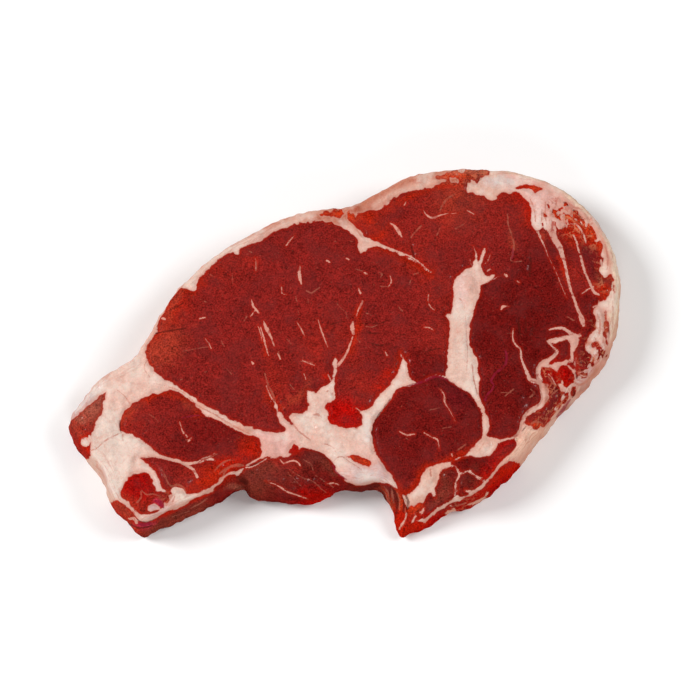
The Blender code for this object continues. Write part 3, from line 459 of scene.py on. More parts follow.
# Broad threads of fat and sinew, and the seams between the muscles.
paleStreaks = [
    # the seam between the eye and the cap, and the strands at its left end
    [(5, 40.4, 0.4), (6, 40.2, 1.3), (7.6, 40.3, 1.1), (12, 40.2, 0.55), (20, 37.2, 0.42),
     (27, 33.8, 0.34), (33, 28.6, 0.22)],
    [(-10, 51.5, 0.5), (-4, 50.6, 0.5), (0, 48.6, 0.5), (5, 43, 0.6), (6, 41, 1)],
    [(1, 50, 0.35), (5, 45.6, 0.4), (6.5, 43, 0.6)],
    # strands at the bar's end
    [(56, 27.5, 0.15), (57.4, 28.9, 0.25), (58.6, 28.2, 0.15)],
    [(57, 24.6, 0.25), (59.4, 24.9, 0.25), (61, 25.9, 0.15)],
    [(55.4, 31, 0.15), (56.8, 32.6, 0.2), (57.6, 35, 0.15)],
    [(52.2, 36, 0.2), (51, 39, 0.15)],
    [(50.4, 30, 0.2), (49.6, 33.4, 0.15)],
    # the three lines along the right end
    [(76.8, 46, 0.6), (78.1, 42.1, 0.4), (79.4, 38.6, 0.25), (80.9, 34, 0.18), (82.9, 29.4, 0.15),
     (84.6, 24.8, 0.2), (86.3, 19.7, 0.2), (87.7, 15.7, 0.15)],
    [(82.6, 52, 1.6), (82.8, 46.6, 1.7), (83.6, 42, 1.3), (85.4, 38.6, 1.2), (86.7, 34, 0.8),
     (87.6, 30, 0.6), (88.2, 26, 0.6), (89, 21, 0.6), (90.1, 17, 0.5), (91.3, 13, 0.6),
     (92.6, 9.6, 0.65), (93.6, 6.6, 1.1), (94, 4.4, 0.6)],
    [(91.4, 43.4, 0.3), (92.4, 40.6, 0.4), (93, 37, 0.45), (93.4, 35.6, 0.3)],
    [(93.8, 34.2, 0.4), (94.4, 31.4, 0.55), (95.3, 27.6, 0.5), (96.8, 23.4, 0.5),
     (97.8, 20.4, 0.6), (98.8, 18.4, 0.65), (100.6, 17.6, 0.45)],
    [(90.6, 49.2, 0.3), (92.6, 48.4, 0.4), (94.4, 46, 0.4), (95.8, 42.4, 0.4), (96.3, 40, 0.25)],
    [(102, 32.6, 0.5), (102.4, 31.2, 0.8)],
    [(98.2, 12.4, 0.3), (99.4, 13.2, 0.4), (100.6, 12.8, 0.4)],
    [(88, 53.2, 0.4), (87.8, 50, 0.5), (89, 47.6, 0.3)],
    [(98.6, 20.6, 0.3), (96, 19.4, 0.3), (93.6, 17.4, 0.2)],
    # the zigzag seam
    [(80.4, 2.4, 0.3), (83.5, 3.1, 0.55), (86.2, 2.9, 0.68), (88.3, 1.6, 0.68), (90.4, 0.4, 1.1),
     (92.6, 0.3, 0.51)],
    [(92.6, 1, 0.22), (89.3, 0.4, 0.36), (86, -0.2, 0.43), (83.4, -1.1, 0.65), (81, -1.6, 0.58),
     (79.7, -1.9, 0.5), (81.2, -4, 0.47), (83, -6.2, 0.5), (81.9, -8.2, 0.61), (79.5, -9.8, 0.72),
     (76.8, -11.6, 0.86), (75.6, -13.6, 0.79), (75.3, -16.4, 0.72), (76, -18.8, 0.86),
     (76.9, -21.8, 1.01), (77.1, -24.6, 0.86), (76.9, -27, 0.65), (74.9, -28.9, 0.58),
     (72.4, -30.3, 0.58), (70.3, -32.4, 0.58), (68.7, -35.5, 0.58), (68, -38.3, 0.5),
     (66.8, -40.8, 0.5), (64.6, -42.2, 0.43), (62, -42.8, 0.43), (59.4, -44, 0.5)],
    [(89.3, -1.2, 1.6), (90.4, -3, 1.4)],
    [(89.2, -4.6, 0.48), (88.9, -7, 0.4), (89.2, -10, 0.64), (86, -10.8, 0.56),
     (82.4, -12.6, 0.72)],
    [(86.2, -11.2, 0.3), (88.3, -12.9, 0.35), (90, -14.8, 0.4), (90.3, -17.5, 0.35)],
    [(79.6, -15.8, 0.3), (81, -17.6, 0.3), (82.3, -20, 0.35)],
    [(84.9, -18.6, 0.35), (85.1, -19.6, 0.4)],
    [(91, -15.3, 0.25), (93, -14.8, 0.35), (95, -14.6, 0.25)],
    [(91.5, -16, 0.25), (93.5, -17, 0.4), (95.8, -16.8, 0.25)],
    [(96.3, -6.2, 0.4), (97.1, -8.2, 0.3), (96.6, -10.4, 0.4)],
    [(66.1, 2.6, 0.21), (65.9, -2.2, 0.3), (67.2, -4.4, 0.38), (68.8, -6, 0.38),
     (68.9, -9.5, 0.42), (69.6, -11.8, 0.51), (71.1, -15.7, 0.72), (72.3, -18.4, 0.94),
     (75.4, -19.4, 1.02)],
    # the fat lines along the lower right and their hook
    [(63.4, -50, 0.5), (60.4, -52.4, 0.5), (57.6, -56.2, 0.5), (54.6, -59.8, 0.5),
     (51.8, -62.6, 0.6), (49.4, -64.4, 0.8), (47.4, -64.2, 0.5), (46.4, -63.4, 0.3)],
    [(50, -64.4, 0.4), (47.4, -66.1, 0.4), (43, -67.6, 0.45), (39, -69.7, 0.45), (35, -72.2, 0.5),
     (31.8, -75.4, 0.6), (30, -76.8, 0.7), (28, -76, 0.6), (27.2, -74.3, 0.5),
     (27.7, -72.4, 0.3)],
    [(26.6, -75.4, 0.3), (25.9, -73.6, 0.4), (26.2, -72, 0.4), (27.2, -70.8, 0.3)],
    [(20.5, -80.4, 0.3), (21.6, -78, 0.4), (22.8, -76, 0.3), (23.2, -73.4, 0.25),
     (23.7, -70, 0.2)],
    [(42.9, -55, 0.3), (43.8, -57.4, 0.35), (42.4, -60, 0.3), (42.2, -64, 0.3),
     (41.8, -66.2, 0.2)],
    [(40, -53.4, 0.3), (42, -53.6, 0.25), (43.4, -55.2, 0.3)],
    [(45.4, -56.6, 0.25), (47.2, -55.6, 0.3), (49, -56.6, 0.25), (51, -58, 0.3),
     (53, -58.6, 0.2)],
    [(30.2, -68.4, 0.35), (29.6, -69.6, 0.55), (28.7, -69.5, 0.3)],
    # left end
    [(-79, -49.8, 0.8), (-74, -49.5, 0.8), (-68.6, -50.9, 0.7), (-65.3, -51.7, 0.7),
     (-62, -53.4, 0.6), (-59.8, -55, 0.6), (-58.1, -57.3, 0.5), (-57.6, -58.7, 0.5)],
    [(-62, -52.6, 0.3), (-60.4, -52.4, 0.4), (-57.7, -51.9, 0.3), (-55.6, -50.6, 0.25),
     (-53, -49.8, 0.2), (-50.6, -48.6, 0.15)],
    [(-84.6, -57.2, 0.4), (-82, -55.7, 0.45), (-79, -55, 0.5), (-77, -55.5, 0.5),
     (-75.5, -57.1, 0.5), (-74.4, -59.1, 0.4), (-73.4, -61.1, 0.5), (-72.5, -62.3, 0.85)],
    [(-88, -66.4, 0.5), (-85, -68.7, 0.5), (-82, -71.4, 0.6), (-80, -74, 0.8),
     (-78.4, -75.4, 0.8), (-76, -75.4, 1), (-73.6, -74, 1.1), (-71, -72.3, 0.9),
     (-68.6, -71.2, 0.7), (-65, -70.3, 0.7), (-62, -68.4, 0.8), (-59, -66.3, 0.7),
     (-56, -65.2, 0.6), (-52.5, -63.6, 0.5), (-50.6, -61.6, 0.3)],
    [(-83.6, -75.8, 0.5), (-81.4, -75.2, 0.7), (-80.6, -77, 0.6)],
    [(-39, -54.5, 0.4), (-36.4, -54, 0.35), (-33.2, -52.2, 0.35), (-31, -50.8, 0.3)],
    [(-38.8, -53.4, 0.3), (-36, -51.8, 0.35), (-33.6, -50.4, 0.35)],
    [(-29.4, -50.4, 0.25), (-26.4, -49.2, 0.3)],
]

faintStreaks = [
    [(-35.9, 32.6, 0.3), (-36, 28, 0.3)],
    [(-39, 36.8, 0.3), (-38, 36, 0.3)],
    [(-15.8, 19, 0.4), (-14, 18, 0.4), (-12, 19.4, 0.3), (-10.6, 20.6, 0.3)],
    [(3.6, 28.4, 0.25), (6.4, 27.6, 0.3)],
    [(13, 27, 0.3), (14.6, 26.2, 0.3), (13.6, 25, 0.3)],
    [(27, 26.4, 0.3), (28.8, 27.2, 0.3)],
    [(13.4, 21, 0.25), (16.4, 21, 0.3)],
    [(8, 9.4, 0.3), (10, 8.6, 0.25)],
    [(7.6, 3.8, 0.3), (10, 3.4, 0.3), (12.4, 4.4, 0.3)],
    [(4, -1.4, 0.3), (5.4, -3, 0.3)],
    [(-23.4, -1.6, 0.25), (-21.8, -3.6, 0.3)],
    [(-40.6, 6, 0.25), (-39.4, 8.4, 0.3)],
    [(-47, -14, 0.2), (-45, -16.4, 0.25)],
    [(-22, -20.8, 0.3), (-20.4, -22.6, 0.3)],
    [(17.6, -62.6, 0.3), (17.9, -66, 0.5), (18.4, -69.4, 0.4)],
    [(13, -62.8, 0.3), (15, -65.6, 0.4), (16.2, -69, 0.35)],
    [(41.4, -70.8, 0.3), (44, -70.2, 0.5), (46.4, -69.4, 0.4)],
    [(87.6, 8, 0.3), (90.4, 6.4, 0.4)],
    [(71.6, -26, 0.3), (73.8, -24, 0.4), (72.4, -22.4, 0.3)],
    [(62, -25.6, 0.3), (66, -22.4, 0.3)],
    [(79.6, -17, 0.4), (81.4, -20, 0.4)],
    [(80.6, -24.6, 0.4), (82.8, -22.4, 0.4)],
    [(72, -36.6, 0.4), (74.6, -35.6, 0.5), (76.4, -36.4, 0.4)],
    [(-64.7, -6.7, 0.2), (-60, -5.8, 0.25), (-56.8, -5.2, 0.25), (-54.4, -4.9, 0.3)],
    [(-49.3, -2.3, 0.25), (-48.2, -4.8, 0.3)],
    [(-45.6, 27, 0.2), (-45.3, 21.8, 0.2)],
    [(-26.8, -7, 0.3), (-25.7, -10.3, 0.25)],
    [(-20.1, 16.7, 0.3), (-19.6, 14.4, 0.25)],
    [(-15.3, 15.5, 0.3), (-14.9, 13.3, 0.25)],
    [(-56.5, 14.9, 0.3), (-55.8, 14.5, 0.3)],
    [(-18.3, -11, 0.25), (-16.2, -11, 0.35), (-13, -11.6, 0.25)],
    [(25.7, 23.7, 0.3), (25.2, 21.8, 0.25)],
    [(-3.9, 13.9, 0.2), (-1.9, 11.2, 0.3), (-0.2, 9.8, 0.25), (0.2, 7.2, 0.2)],
    [(20.8, 12.1, 0.3), (22.2, 10.3, 0.35)],
    [(-65.9, 7.2, 0.25), (-65.2, 7, 0.25)],
    [(-54.4, 26.5, 0.25), (-52.8, 25.6, 0.25)],
    [(-55.7, -15.5, 0.25), (-54.9, -15.3, 0.25)],
    [(-65.2, -18.5, 0.3), (-64.4, -18.3, 0.25)],
    [(-19.3, 11, 0.2), (-18.7, 8.2, 0.2)],
    [(-32, -16, 0.3), (-30.6, -20.9, 0.4), (-29.2, -23.6, 0.5), (-28, -27, 0.4)],
    [(-4.7, 40.8, 0.25), (-3.9, 40.6, 0.25)],
    [(1.6, 41.2, 0.25), (2.4, 41, 0.25)],
    [(11.1, 21.8, 0.2), (11.1, 20.8, 0.2)],
    [(21.8, 54.1, 0.2), (22.3, 53.7, 0.2)],
    [(37.8, 53.4, 0.3), (38.5, 56, 0.4), (41, 59.5, 0.5), (43.9, 61.6, 0.4)],
    [(44, 46.2, 0.3), (47, 48, 0.3)],
    [(25.8, 42.2, 0.4), (30, 47.5, 0.4)],
    [(37.6, 46.3, 0.25), (36.3, 43.1, 0.3)],
    [(65, 52.7, 0.3), (65.3, 47.5, 0.35), (66.3, 44, 0.35), (67.3, 39.2, 0.4), (66.5, 35, 0.45),
     (65.9, 31.9, 0.3), (70.2, 31.9, 0.3)],
    [(60.4, -24, 0.25), (64.5, -24.2, 0.25)],
    [(63.2, 0.9, 0.2), (66, 0.6, 0.3)],
    [(37.4, -38.8, 0.25), (41.2, -38.2, 0.25)],
    [(32.6, -31.3, 0.25), (35.9, -30.4, 0.25), (38.1, -29.9, 0.2)],
    [(23.2, -42.7, 0.25), (23.8, -43.1, 0.25)],
    [(21.2, -29.9, 0.25), (21.8, -29.5, 0.25)],
    [(43.3, -47.6, 0.3), (46.6, -45, 0.3)],
    [(-62.4, -43.6, 0.3), (-61.6, -43.4, 0.3)],
    [(-77, -33, 0.3), (-74.6, -34.6, 0.3), (-73, -36.4, 0.2)],
    [(-55.6, -51, 0.3), (-52.4, -50, 0.3), (-50, -49, 0.3)],
    [(-49, -57, 0.4), (-46, -54.5, 0.5), (-40, -53.5, 0.5)],
    [(-22.5, -57, 0.25), (-20.5, -58.5, 0.3), (-18.5, -61, 0.3), (-17, -62.5, 0.2)],
    [(-22, -55, 0.25), (-17, -58.5, 0.35), (-13, -60, 0.35), (-9.5, -63.5, 0.3),
     (-7.5, -65.3, 0.2)],
    [(-16.5, -51.5, 0.25), (-13.5, -53.5, 0.3), (-12.8, -55.8, 0.25)],
    [(-12, -57.6, 0.25), (-8, -60.4, 0.3), (-5, -62.8, 0.3)],
    [(-79, -63.6, 0.3), (-77, -65.4, 0.3), (-74.6, -65, 0.3), (-72, -66, 0.2)],
    [(-70.6, -58, 0.25), (-69, -60.4, 0.3), (-67.6, -62, 0.4), (-66, -61.3, 0.35),
     (-64, -61.6, 0.4), (-62.6, -62.7, 0.4), (-61.9, -64.6, 0.35)],
    [(-79.4, -64, 0.3), (-79, -66.4, 0.4), (-80.6, -68.4, 0.4)],
    [(-60, -71.4, 0.3), (-56.6, -69.6, 0.35), (-53.6, -67.4, 0.3)],
    [(-67, -75, 0.3), (-60.6, -72.8, 0.3)],
    [(-47.6, -57.6, 0.4), (-46.4, -55, 0.5), (-43.6, -53.6, 0.5), (-40.6, -53.2, 0.4)],
    [(-51, -56.4, 0.3), (-49, -53.4, 0.4), (-46, -51.8, 0.35), (-43, -51.6, 0.25)],
    [(-72, -54.6, 0.25), (-70, -58, 0.3), (-68.6, -61.4, 0.25)],
    [(22.8, -71.6, 0.4), (23.2, -75, 0.4), (21.8, -78.6, 0.4), (20.4, -80.6, 0.3)],
    [(14.6, -62.4, 0.3), (16.4, -65.6, 0.4), (16.8, -69.4, 0.35), (18, -73, 0.3)],
    [(19.6, -65, 0.35), (20.6, -68.6, 0.4), (20.4, -72, 0.35)],
]

# Pinkish lines and folds in the fat; the first, along a crease, is painted shade.
fatLines = [
    [(-87.6, -39.6, 0.3), (-91.1, -41.8, 0.35), (-94.5, -44, 0.35), (-97, -46.4, 0.3),
     (-99, -47.6, 0.25)],
    [(-87.2, -40.6, 0.3), (-86.9, -43.4, 0.25)],
    [(-76, -19.8, 0.2), (-70, -21, 0.25), (-64, -23.4, 0.3), (-58, -29, 0.4), (-54, -31.2, 0.4),
     (-50, -33.6, 0.45), (-46, -36, 0.45), (-42, -38.3, 0.4), (-38, -40.4, 0.3)],
    [(47, 14, 0.15), (47.5, 5, 0.2), (47.7, -1.7, 0.25), (47.8, -8, 0.25), (47.4, -15, 0.2)],
    [(45.2, 16, 0.4), (45.7, 15.6, 0.4)],
    [(102.8, 6, 0.3), (103, 1, 0.3), (102.4, -3, 0.3)],
    [(100.6, 9, 0.2), (100.8, 3, 0.3), (99.4, -1, 0.2)],
    [(79, 55.4, 0.25), (79, 52, 0.3), (78.6, 49.6, 0.2)],
    [(82, 50.4, 0.25), (82.4, 47.6, 0.3), (84, 44, 0.2)],
    [(76.4, 57.6, 0.2), (76.8, 53, 0.25)],
    [(-12.6, -33, 0.4), (-10.8, -32.8, 0.5), (-9.6, -33.6, 0.3)],
    [(-7.6, -23.2, 0.4), (-7.3, -22.8, 0.4)],
    [(-5.6, -24.2, 0.4), (-5.3, -23.8, 0.4)],
    [(-21, -36, 0.4), (-18, -40, 0.4), (-14, -43, 0.3)],
    [(-10, -44.6, 0.25), (-6, -45.4, 0.3), (-3.6, -48.6, 0.25)],
    [(-4.6, -51, 0.3), (-1.6, -49.8, 0.3), (1.6, -52, 0.25), (6, -54.6, 0.25)],
    [(32.6, -54.6, 0.3), (32.8, -57.4, 0.4)],
    [(-67.4, -65.4, 0.6), (-68.6, -67.2, 0.8), (-69.4, -69.2, 0.6)],
    [(-66, -66, 0.3), (-67, -68, 0.4)],
    [(103.2, 11, 0.3), (103.4, 7, 0.5), (103.9, 3, 0.6), (103.9, -0.6, 0.5), (103.2, -3.4, 0.3)],
    [(101.6, 4, 0.2), (101.9, 0.4, 0.35), (101.6, -2.6, 0.35)],
    [(104, 40, 0.3), (104.8, 34, 0.4), (104.4, 29, 0.3)],
    [(106, 15, 0.2), (106, 9, 0.3), (105.6, 3, 0.2)],
    [(91, -18.4, 0.3), (94, -19.2, 0.4), (97, -16.6, 0.3)],
    [(87.4, -22, 0.3), (88, -25, 0.4), (86.4, -27.6, 0.3)],
    [(84.4, -26.4, 0.3), (83.2, -29.6, 0.4)],
    [(-78, -8, 0.2), (-79.6, -13, 0.25), (-77, -17.4, 0.2)],
    [(53.6, -44.6, 0.2), (51.6, -47.4, 0.25)],
    [(80.6, 58.4, 0.3), (80.3, 53, 0.45), (80.8, 48.4, 0.35)],
    [(84.8, 60.4, 0.3), (84.6, 56.6, 0.4), (82.4, 52.4, 0.3)],
    [(74.6, 60, 0.3), (76, 55.6, 0.45), (76.4, 50, 0.35)],
    [(89.4, 58.6, 0.4), (92, 56.4, 0.5), (95.6, 55, 0.4)],
    [(99.8, 9.6, 0.3), (100.6, 4.4, 0.45), (99.6, -0.4, 0.35)],
    [(98.4, -0.6, 0.4), (100.2, -3.6, 0.6), (101, -4.4, 0.3)],
    [(97, -12.6, 0.4), (99.4, -10.6, 0.5), (100.6, -8.6, 0.3)],
    [(88.8, -18.6, 0.4), (91.6, -20.6, 0.6), (95, -19, 0.5)],
    [(80.6, -33.4, 0.3), (83, -30.6, 0.5), (85, -27, 0.4)],
    [(-90, -22, 0.25), (-86, -26, 0.3), (-84.6, -28.6, 0.2)],
    [(49.6, -12, 0.3), (50.2, -18, 0.4), (51.4, -24, 0.3)],
]

# Lines of a wine red, on lean and fat alike.
wineLines = [
    # painted shade: the dark purple line along the step at the complexus's upper edge
    [(23, -20.9, 0.2), (26, -20.2, 0.5), (30, -19, 0.7), (33, -17.5, 0.75), (36, -16.9, 0.7),
     (39.4, -17.9, 0.5), (41, -19, 0.2)],
    [(62.5, -6, 0.3), (63.2, -8.4, 0.5), (62.9, -11.2, 0.5), (61.8, -13.4, 0.5),
     (59.6, -15.1, 0.5), (57.7, -17.3, 0.5), (56.9, -19.5, 0.45), (57.9, -20.6, 0.35),
     (57, -22.8, 0.45), (54.9, -25, 0.45), (54.4, -26.9, 0.5)],
    [(66.8, 38, 0.2), (66.7, 35.4, 0.5), (66.1, 33, 0.4)],
    [(-64.4, -34.6, 0.2), (-61, -33.6, 0.35), (-57.4, -33.1, 0.3)],
    [(-73.4, -67.8, 0.5), (-72.2, -68, 0.9), (-71, -69.4, 0.9), (-70.4, -70.4, 0.4)],
    [(-5.4, -53, 0.3), (-3.4, -56.4, 0.5), (0, -59.6, 0.4)],
    [(-79.4, -77.4, 0.7), (-77.4, -77.6, 0.9), (-75.6, -77.2, 0.7)],
    [(82.6, -34, 0.5), (84.6, -31.6, 0.9), (86.4, -28.6, 0.7), (88, -26.8, 0.4)],
]

# Cuts, creases and hollows: dark lines of painted shade, which also sink the face a little.
shadedCuts = [
    [(-75.4, 1.8, 0.35), (-69.3, 2.6, 0.5), (-63.4, 3.3, 0.3)],
    [(-70.6, 11.2, 0.25), (-67, 13, 0.35), (-64.6, 14.6, 0.25)],
    [(73.9, 36, 0.3), (73.6, 30, 0.6), (73.3, 25.4, 0.35)],
    [(60.6, 4, 0.15), (60.2, -1, 0.2)],
    [(65, 6, 0.15), (64.6, 1, 0.2)],
    [(75.4, 12, 0.15), (74.6, 6, 0.2)],
    [(103.8, 4, 0.15), (104.1, 1.6, 0.3), (103.8, -1, 0.15)],
    [(89.2, -22, 0.3), (89.6, -24.4, 0.5), (88.6, -26, 0.3)],
    [(90.4, -14.6, 0.3), (90.9, -16.6, 0.45), (90.6, -18, 0.3)],
    [(-84, -78.4, 0.4), (-79, -79.3, 0.5), (-74.4, -78.4, 0.4)],
    [(-80.6, -74.9, 0.2), (-79.2, -76.2, 0.3), (-76.6, -76.6, 0.25), (-73.6, -75.4, 0.2)],
    [(-88.5, -34.6, 0.3), (-88.4, -37, 0.5), (-88, -39.4, 0.3)],
    [(0, -60.9, 0.3), (4, -62.6, 0.45), (9, -62.2, 0.45), (12.4, -61, 0.35)],
    [(10.5, -44, 0.25), (10.3, -39, 0.35), (12.2, -33.4, 0.3), (17.6, -25.6, 0.25)],
    [(-42, -58.8, 0.9), (-39, -60.8, 1.3)],
    [(-38, -53.9, 0.3), (-35, -52.8, 0.35), (-32.4, -51.4, 0.25)],
    [(66.4, -41.8, 0.2), (66.6, -43.4, 0.25)],
    [(70.2, -37.4, 0.2), (68.6, -39.4, 0.25)],
    [(17.2, -62.4, 0.4), (19.4, -66, 0.6), (19.8, -70, 0.6), (19, -76, 0.5)],
    [(12.2, -61.6, 0.4), (14.4, -65, 0.6), (15, -70, 0.6), (15.4, -76, 0.5)],
    [(21.4, -64.6, 0.3), (22.4, -68, 0.5), (22, -73, 0.5)],
    [(91.2, -13.9, 0.2), (93.6, -13.8, 0.3)],
    [(23.4, -63.9, 0.4), (24.2, -66.6, 0.6), (23.9, -68.4, 0.3)],
    [(28.4, -68.4, 0.2), (28, -69.2, 0.4)],
    [(16.9, -62.8, 0.2), (16.8, -67, 0.4), (17.6, -71.4, 0.3)],
    [(8, 6, 0.2), (12, 5, 0.4), (16, 6.2, 0.2)],
    [(6, 2.2, 0.2), (11, 0.8, 0.45), (15.4, 2, 0.2)],
    [(8.6, -3, 0.2), (13.4, -4.2, 0.4), (18, -3, 0.2)],
    [(-8, 3.8, 0.2), (-4, 5.4, 0.4), (0.6, 6.2, 0.2)],
    [(17.6, 1, 0.1), (21.6, 0.3, 0.25), (26, 1.2, 0.1)],
    [(31, -7.2, 0.2), (34, -5.8, 0.45), (38, -5.2, 0.2)],
    [(9.6, -7, 0.1), (13.6, -8.2, 0.25), (17.6, -7.4, 0.1)],
    [(68.5, 7.4, 0.25), (68.4, 3.4, 0.5), (68.8, -0.4, 0.25)],
    [(71, 7.4, 0.2), (71.2, 3.8, 0.45), (71, 0.4, 0.2)],
    [(73.6, 6.2, 0.2), (74, 2.4, 0.4), (73.4, -0.6, 0.2)],
    [(25.6, 40, 0.2), (26.6, 36.6, 0.5), (27.2, 34, 0.3)],
    [(25.4, 45, 0.1), (25.8, 41.6, 0.3)],
]


def smoothPath(points, spacing, closed=True):
    # Evenly spaced places on the curve through the points. Between two points it is the
    # cubic whose tangents are those of the centripetal Catmull-Rom curve.
    knots = np.array(points, dtype=float)
    if closed:
        before, after, last = (np.roll(knots, -k, 0) for k in (-1, 1, 2))
        start = knots
    else:
        padded = np.vstack([2 * knots[0] - knots[1], knots, 2 * knots[-1] - knots[-2]])
        before, start, after, last = padded[:-3], padded[1:-2], padded[2:-1], padded[3:]
    gapBefore, gap, gapAfter = (
        np.sqrt(np.hypot(*(b - a)[:, :2].T))[:, None] + 1e-6
        for a, b in ((before, start), (start, after), (after, last))
    )
    leave = gap * ((start - before) / gapBefore - (after - before) / (gapBefore + gap)
                   + (after - start) / gap)
    arrive = gap * ((after - start) / gap - (last - start) / (gap + gapAfter)
                    + (last - after) / gapAfter)
    step = np.linspace(0, 1, 12, endpoint=False)[None, :, None]
    start, after, leave, arrive = (part[:, None, :] for part in (start, after, leave, arrive))
    fine = (
        (2 * step ** 3 - 3 * step ** 2 + 1) * start + (step ** 3 - 2 * step ** 2 + step) * leave
        + (3 * step ** 2 - 2 * step ** 3) * after + (step ** 3 - step ** 2) * arrive
    ).reshape(-1, knots.shape[1])
    fine = np.vstack([fine, knots[0] if closed else knots[-1]])
    along = np.concatenate([[0], np.cumsum(np.hypot(*np.diff(fine[:, :2], axis=0).T))])
    count = max(2, round(along[-1] / spacing))
    places = np.linspace(0, along[-1], count + 1)
    even = np.stack([np.interp(places, along, column) for column in fine.T], 1)
    return even[:-1] if closed else even


def nearestOn(points, path, closed=True):
    # For each point: distance to the path, the way from the path to the point, and the
    # value of the path's third column there.
    ends = np.roll(path, -1, 0) if closed else path[1:]
    starts = path if closed else path[:-1]
    distance = np.full(len(points), np.inf)
    way = np.zeros((len(points), 2))
    carried = np.zeros(len(points))
    for start, end in zip(starts, ends):
        run = end[:2] - start[:2]
        away = points - start[:2]
        share = np.clip(away @ run / max(run @ run, 1e-12), 0, 1)
        gap = away - share[:, None] * run
        reach = np.hypot(gap[:, 0], gap[:, 1])
        closer = reach < distance
        distance = np.where(closer, reach, distance)
        way[closer] = gap[closer]
        if len(start) > 2:
            carried = np.where(closer, start[2] + share * (end[2] - start[2]), carried)
    return distance, way, carried


def insideOf(points, loop):
    # Whether each point lies inside a closed loop: a ray from it crosses the loop an odd
    # number of times.
    inside = np.zeros(len(points), dtype=bool)
    for (x0, y0), (x1, y1) in zip(loop[:, :2], np.roll(loop[:, :2], -1, 0)):
        if y0 == y1:
            continue
        spans = (y0 > points[:, 1]) != (y1 > points[:, 1])
        inside ^= spans & (points[:, 0] < x0 + (points[:, 1] - y0) * (x1 - x0) / (y1 - y0))
    return inside


def boxed(points, path, margin):
    # The points that lie within a margin of a path's own box.
    low, high = path[:, :2].min(0) - margin, path[:, :2].max(0) + margin
    return np.flatnonzero(((points > low) & (points < high)).all(1))


def depthIn(points, loops, reach=8.0, spacing=0.8):
    # How far each point is inside the nearest of the loops, negative outside them all.
    depth = np.full(len(points), -reach)
    for loop in loops:
        path = smoothPath(loop, spacing)
        near = boxed(points, path, reach)
        distance = nearestOn(points[near], path)[0]
        signed = np.where(insideOf(points[near], path), distance, -distance)
        depth[near] = np.maximum(depth[near], signed)
    return np.clip(depth, -reach, reach)


def spreadOut(threads, apart=3.0):
    # Sorts threads into layers, so that within a layer none comes close to another.
    layers = []
    for thread in threads:
        path = smoothPath(thread, 0.7, closed=False)
        for layer in layers:
            taken = np.vstack(layer)[None, :, :2]
            if np.hypot(*(path[:, None, :2] - taken).transpose(2, 0, 1)).min() > apart:
                layer.append(path)
                break
        else:
            layers.append([path])
    return layers


def threadField(points, layer, reach=1.5, fall=0.6, furthest=9.0):
    # Each thread is a line of changing half width. Gives the way from the nearest one to
    # the point and that half width, which falls off beside the thread.
    field = np.tile((furthest, 0.0, -fall * reach), (len(points), 1))
    best = np.full(len(points), np.inf)
    for path in layer:
        near = boxed(points, path, reach + path[:, 2].max())
        distance, way, half = nearestOn(points[near], path, closed=False)
        beyond = np.maximum(distance - half, 0)
        closer = beyond < best[near]
        chosen = near[closer]
        best[chosen] = beyond[closer]
        field[chosen, :2] = way[closer]
        field[chosen, 2] = (half - fall * np.minimum(beyond, reach))[closer]
    return field


threadLayers = {
    name: spreadOut(threads) for name, threads in (
        ("pale", paleStreaks), ("marble", marbleAndGlintStreaks), ("faint", faintStreaks),
        ("line", fatLines), ("cut", shadedCuts), ("wine", wineLines),
    )
}
print("threads laid out:", {name: len(layers) for name, layers in threadLayers.items()}, "layers")


def sinkAt(fields):
    # How much the threads of a family press into the surface, from 0 to 1.
    beside = [np.hypot(f[:, 0], f[:, 1]) - f[:, 2] for f in fields]
    return np.max([1 - softStep(gap, *sliceShape["sinkRange"]) for gap in beside], axis=0)


def ripple(places, size, seed, waves=26):
    # Smooth unevenness: the sum of sine waves of about one length, in random directions.
    draw = np.random.default_rng(seed)
    heading = draw.normal(size=(waves, places.shape[1]))
    heading /= np.linalg.norm(heading, axis=1)[:, None]
    length = size * draw.uniform(0.7, 1.5, waves)
    turn = draw.uniform(0, 2 * math.pi, waves)
    total = np.zeros(len(places))
    for k in range(waves):
        total += np.sin(places @ heading[k] * (2 * math.pi / length[k]) + turn[k])
    return total * math.sqrt(2 / waves)


def wavesAt(places, *kinds):
    # The sum of these kinds of unevenness at each place.
    total = 0
    for size, height, seed in (unevenness[kind] for kind in kinds):
        total = total + height * ripple(places, size, seed)
    return total


def softStep(value, low, high):
    # 0 below the low value, 1 above the high one, and 3t^2 - 2t^3 between them.
    share = np.clip((value - low) / (high - low), 0, 1)
    return share * share * (3 - 2 * share)


def dips(points, places):
    # The sum of smooth round dips, each given by x, y, reach and depth.
    total = np.zeros(len(points))
    for x, y, reach, depth in places:
        total += depth * np.exp(-(np.hypot(points[:, 0] - x, points[:, 1] - y) / reach) ** 2)
    return total


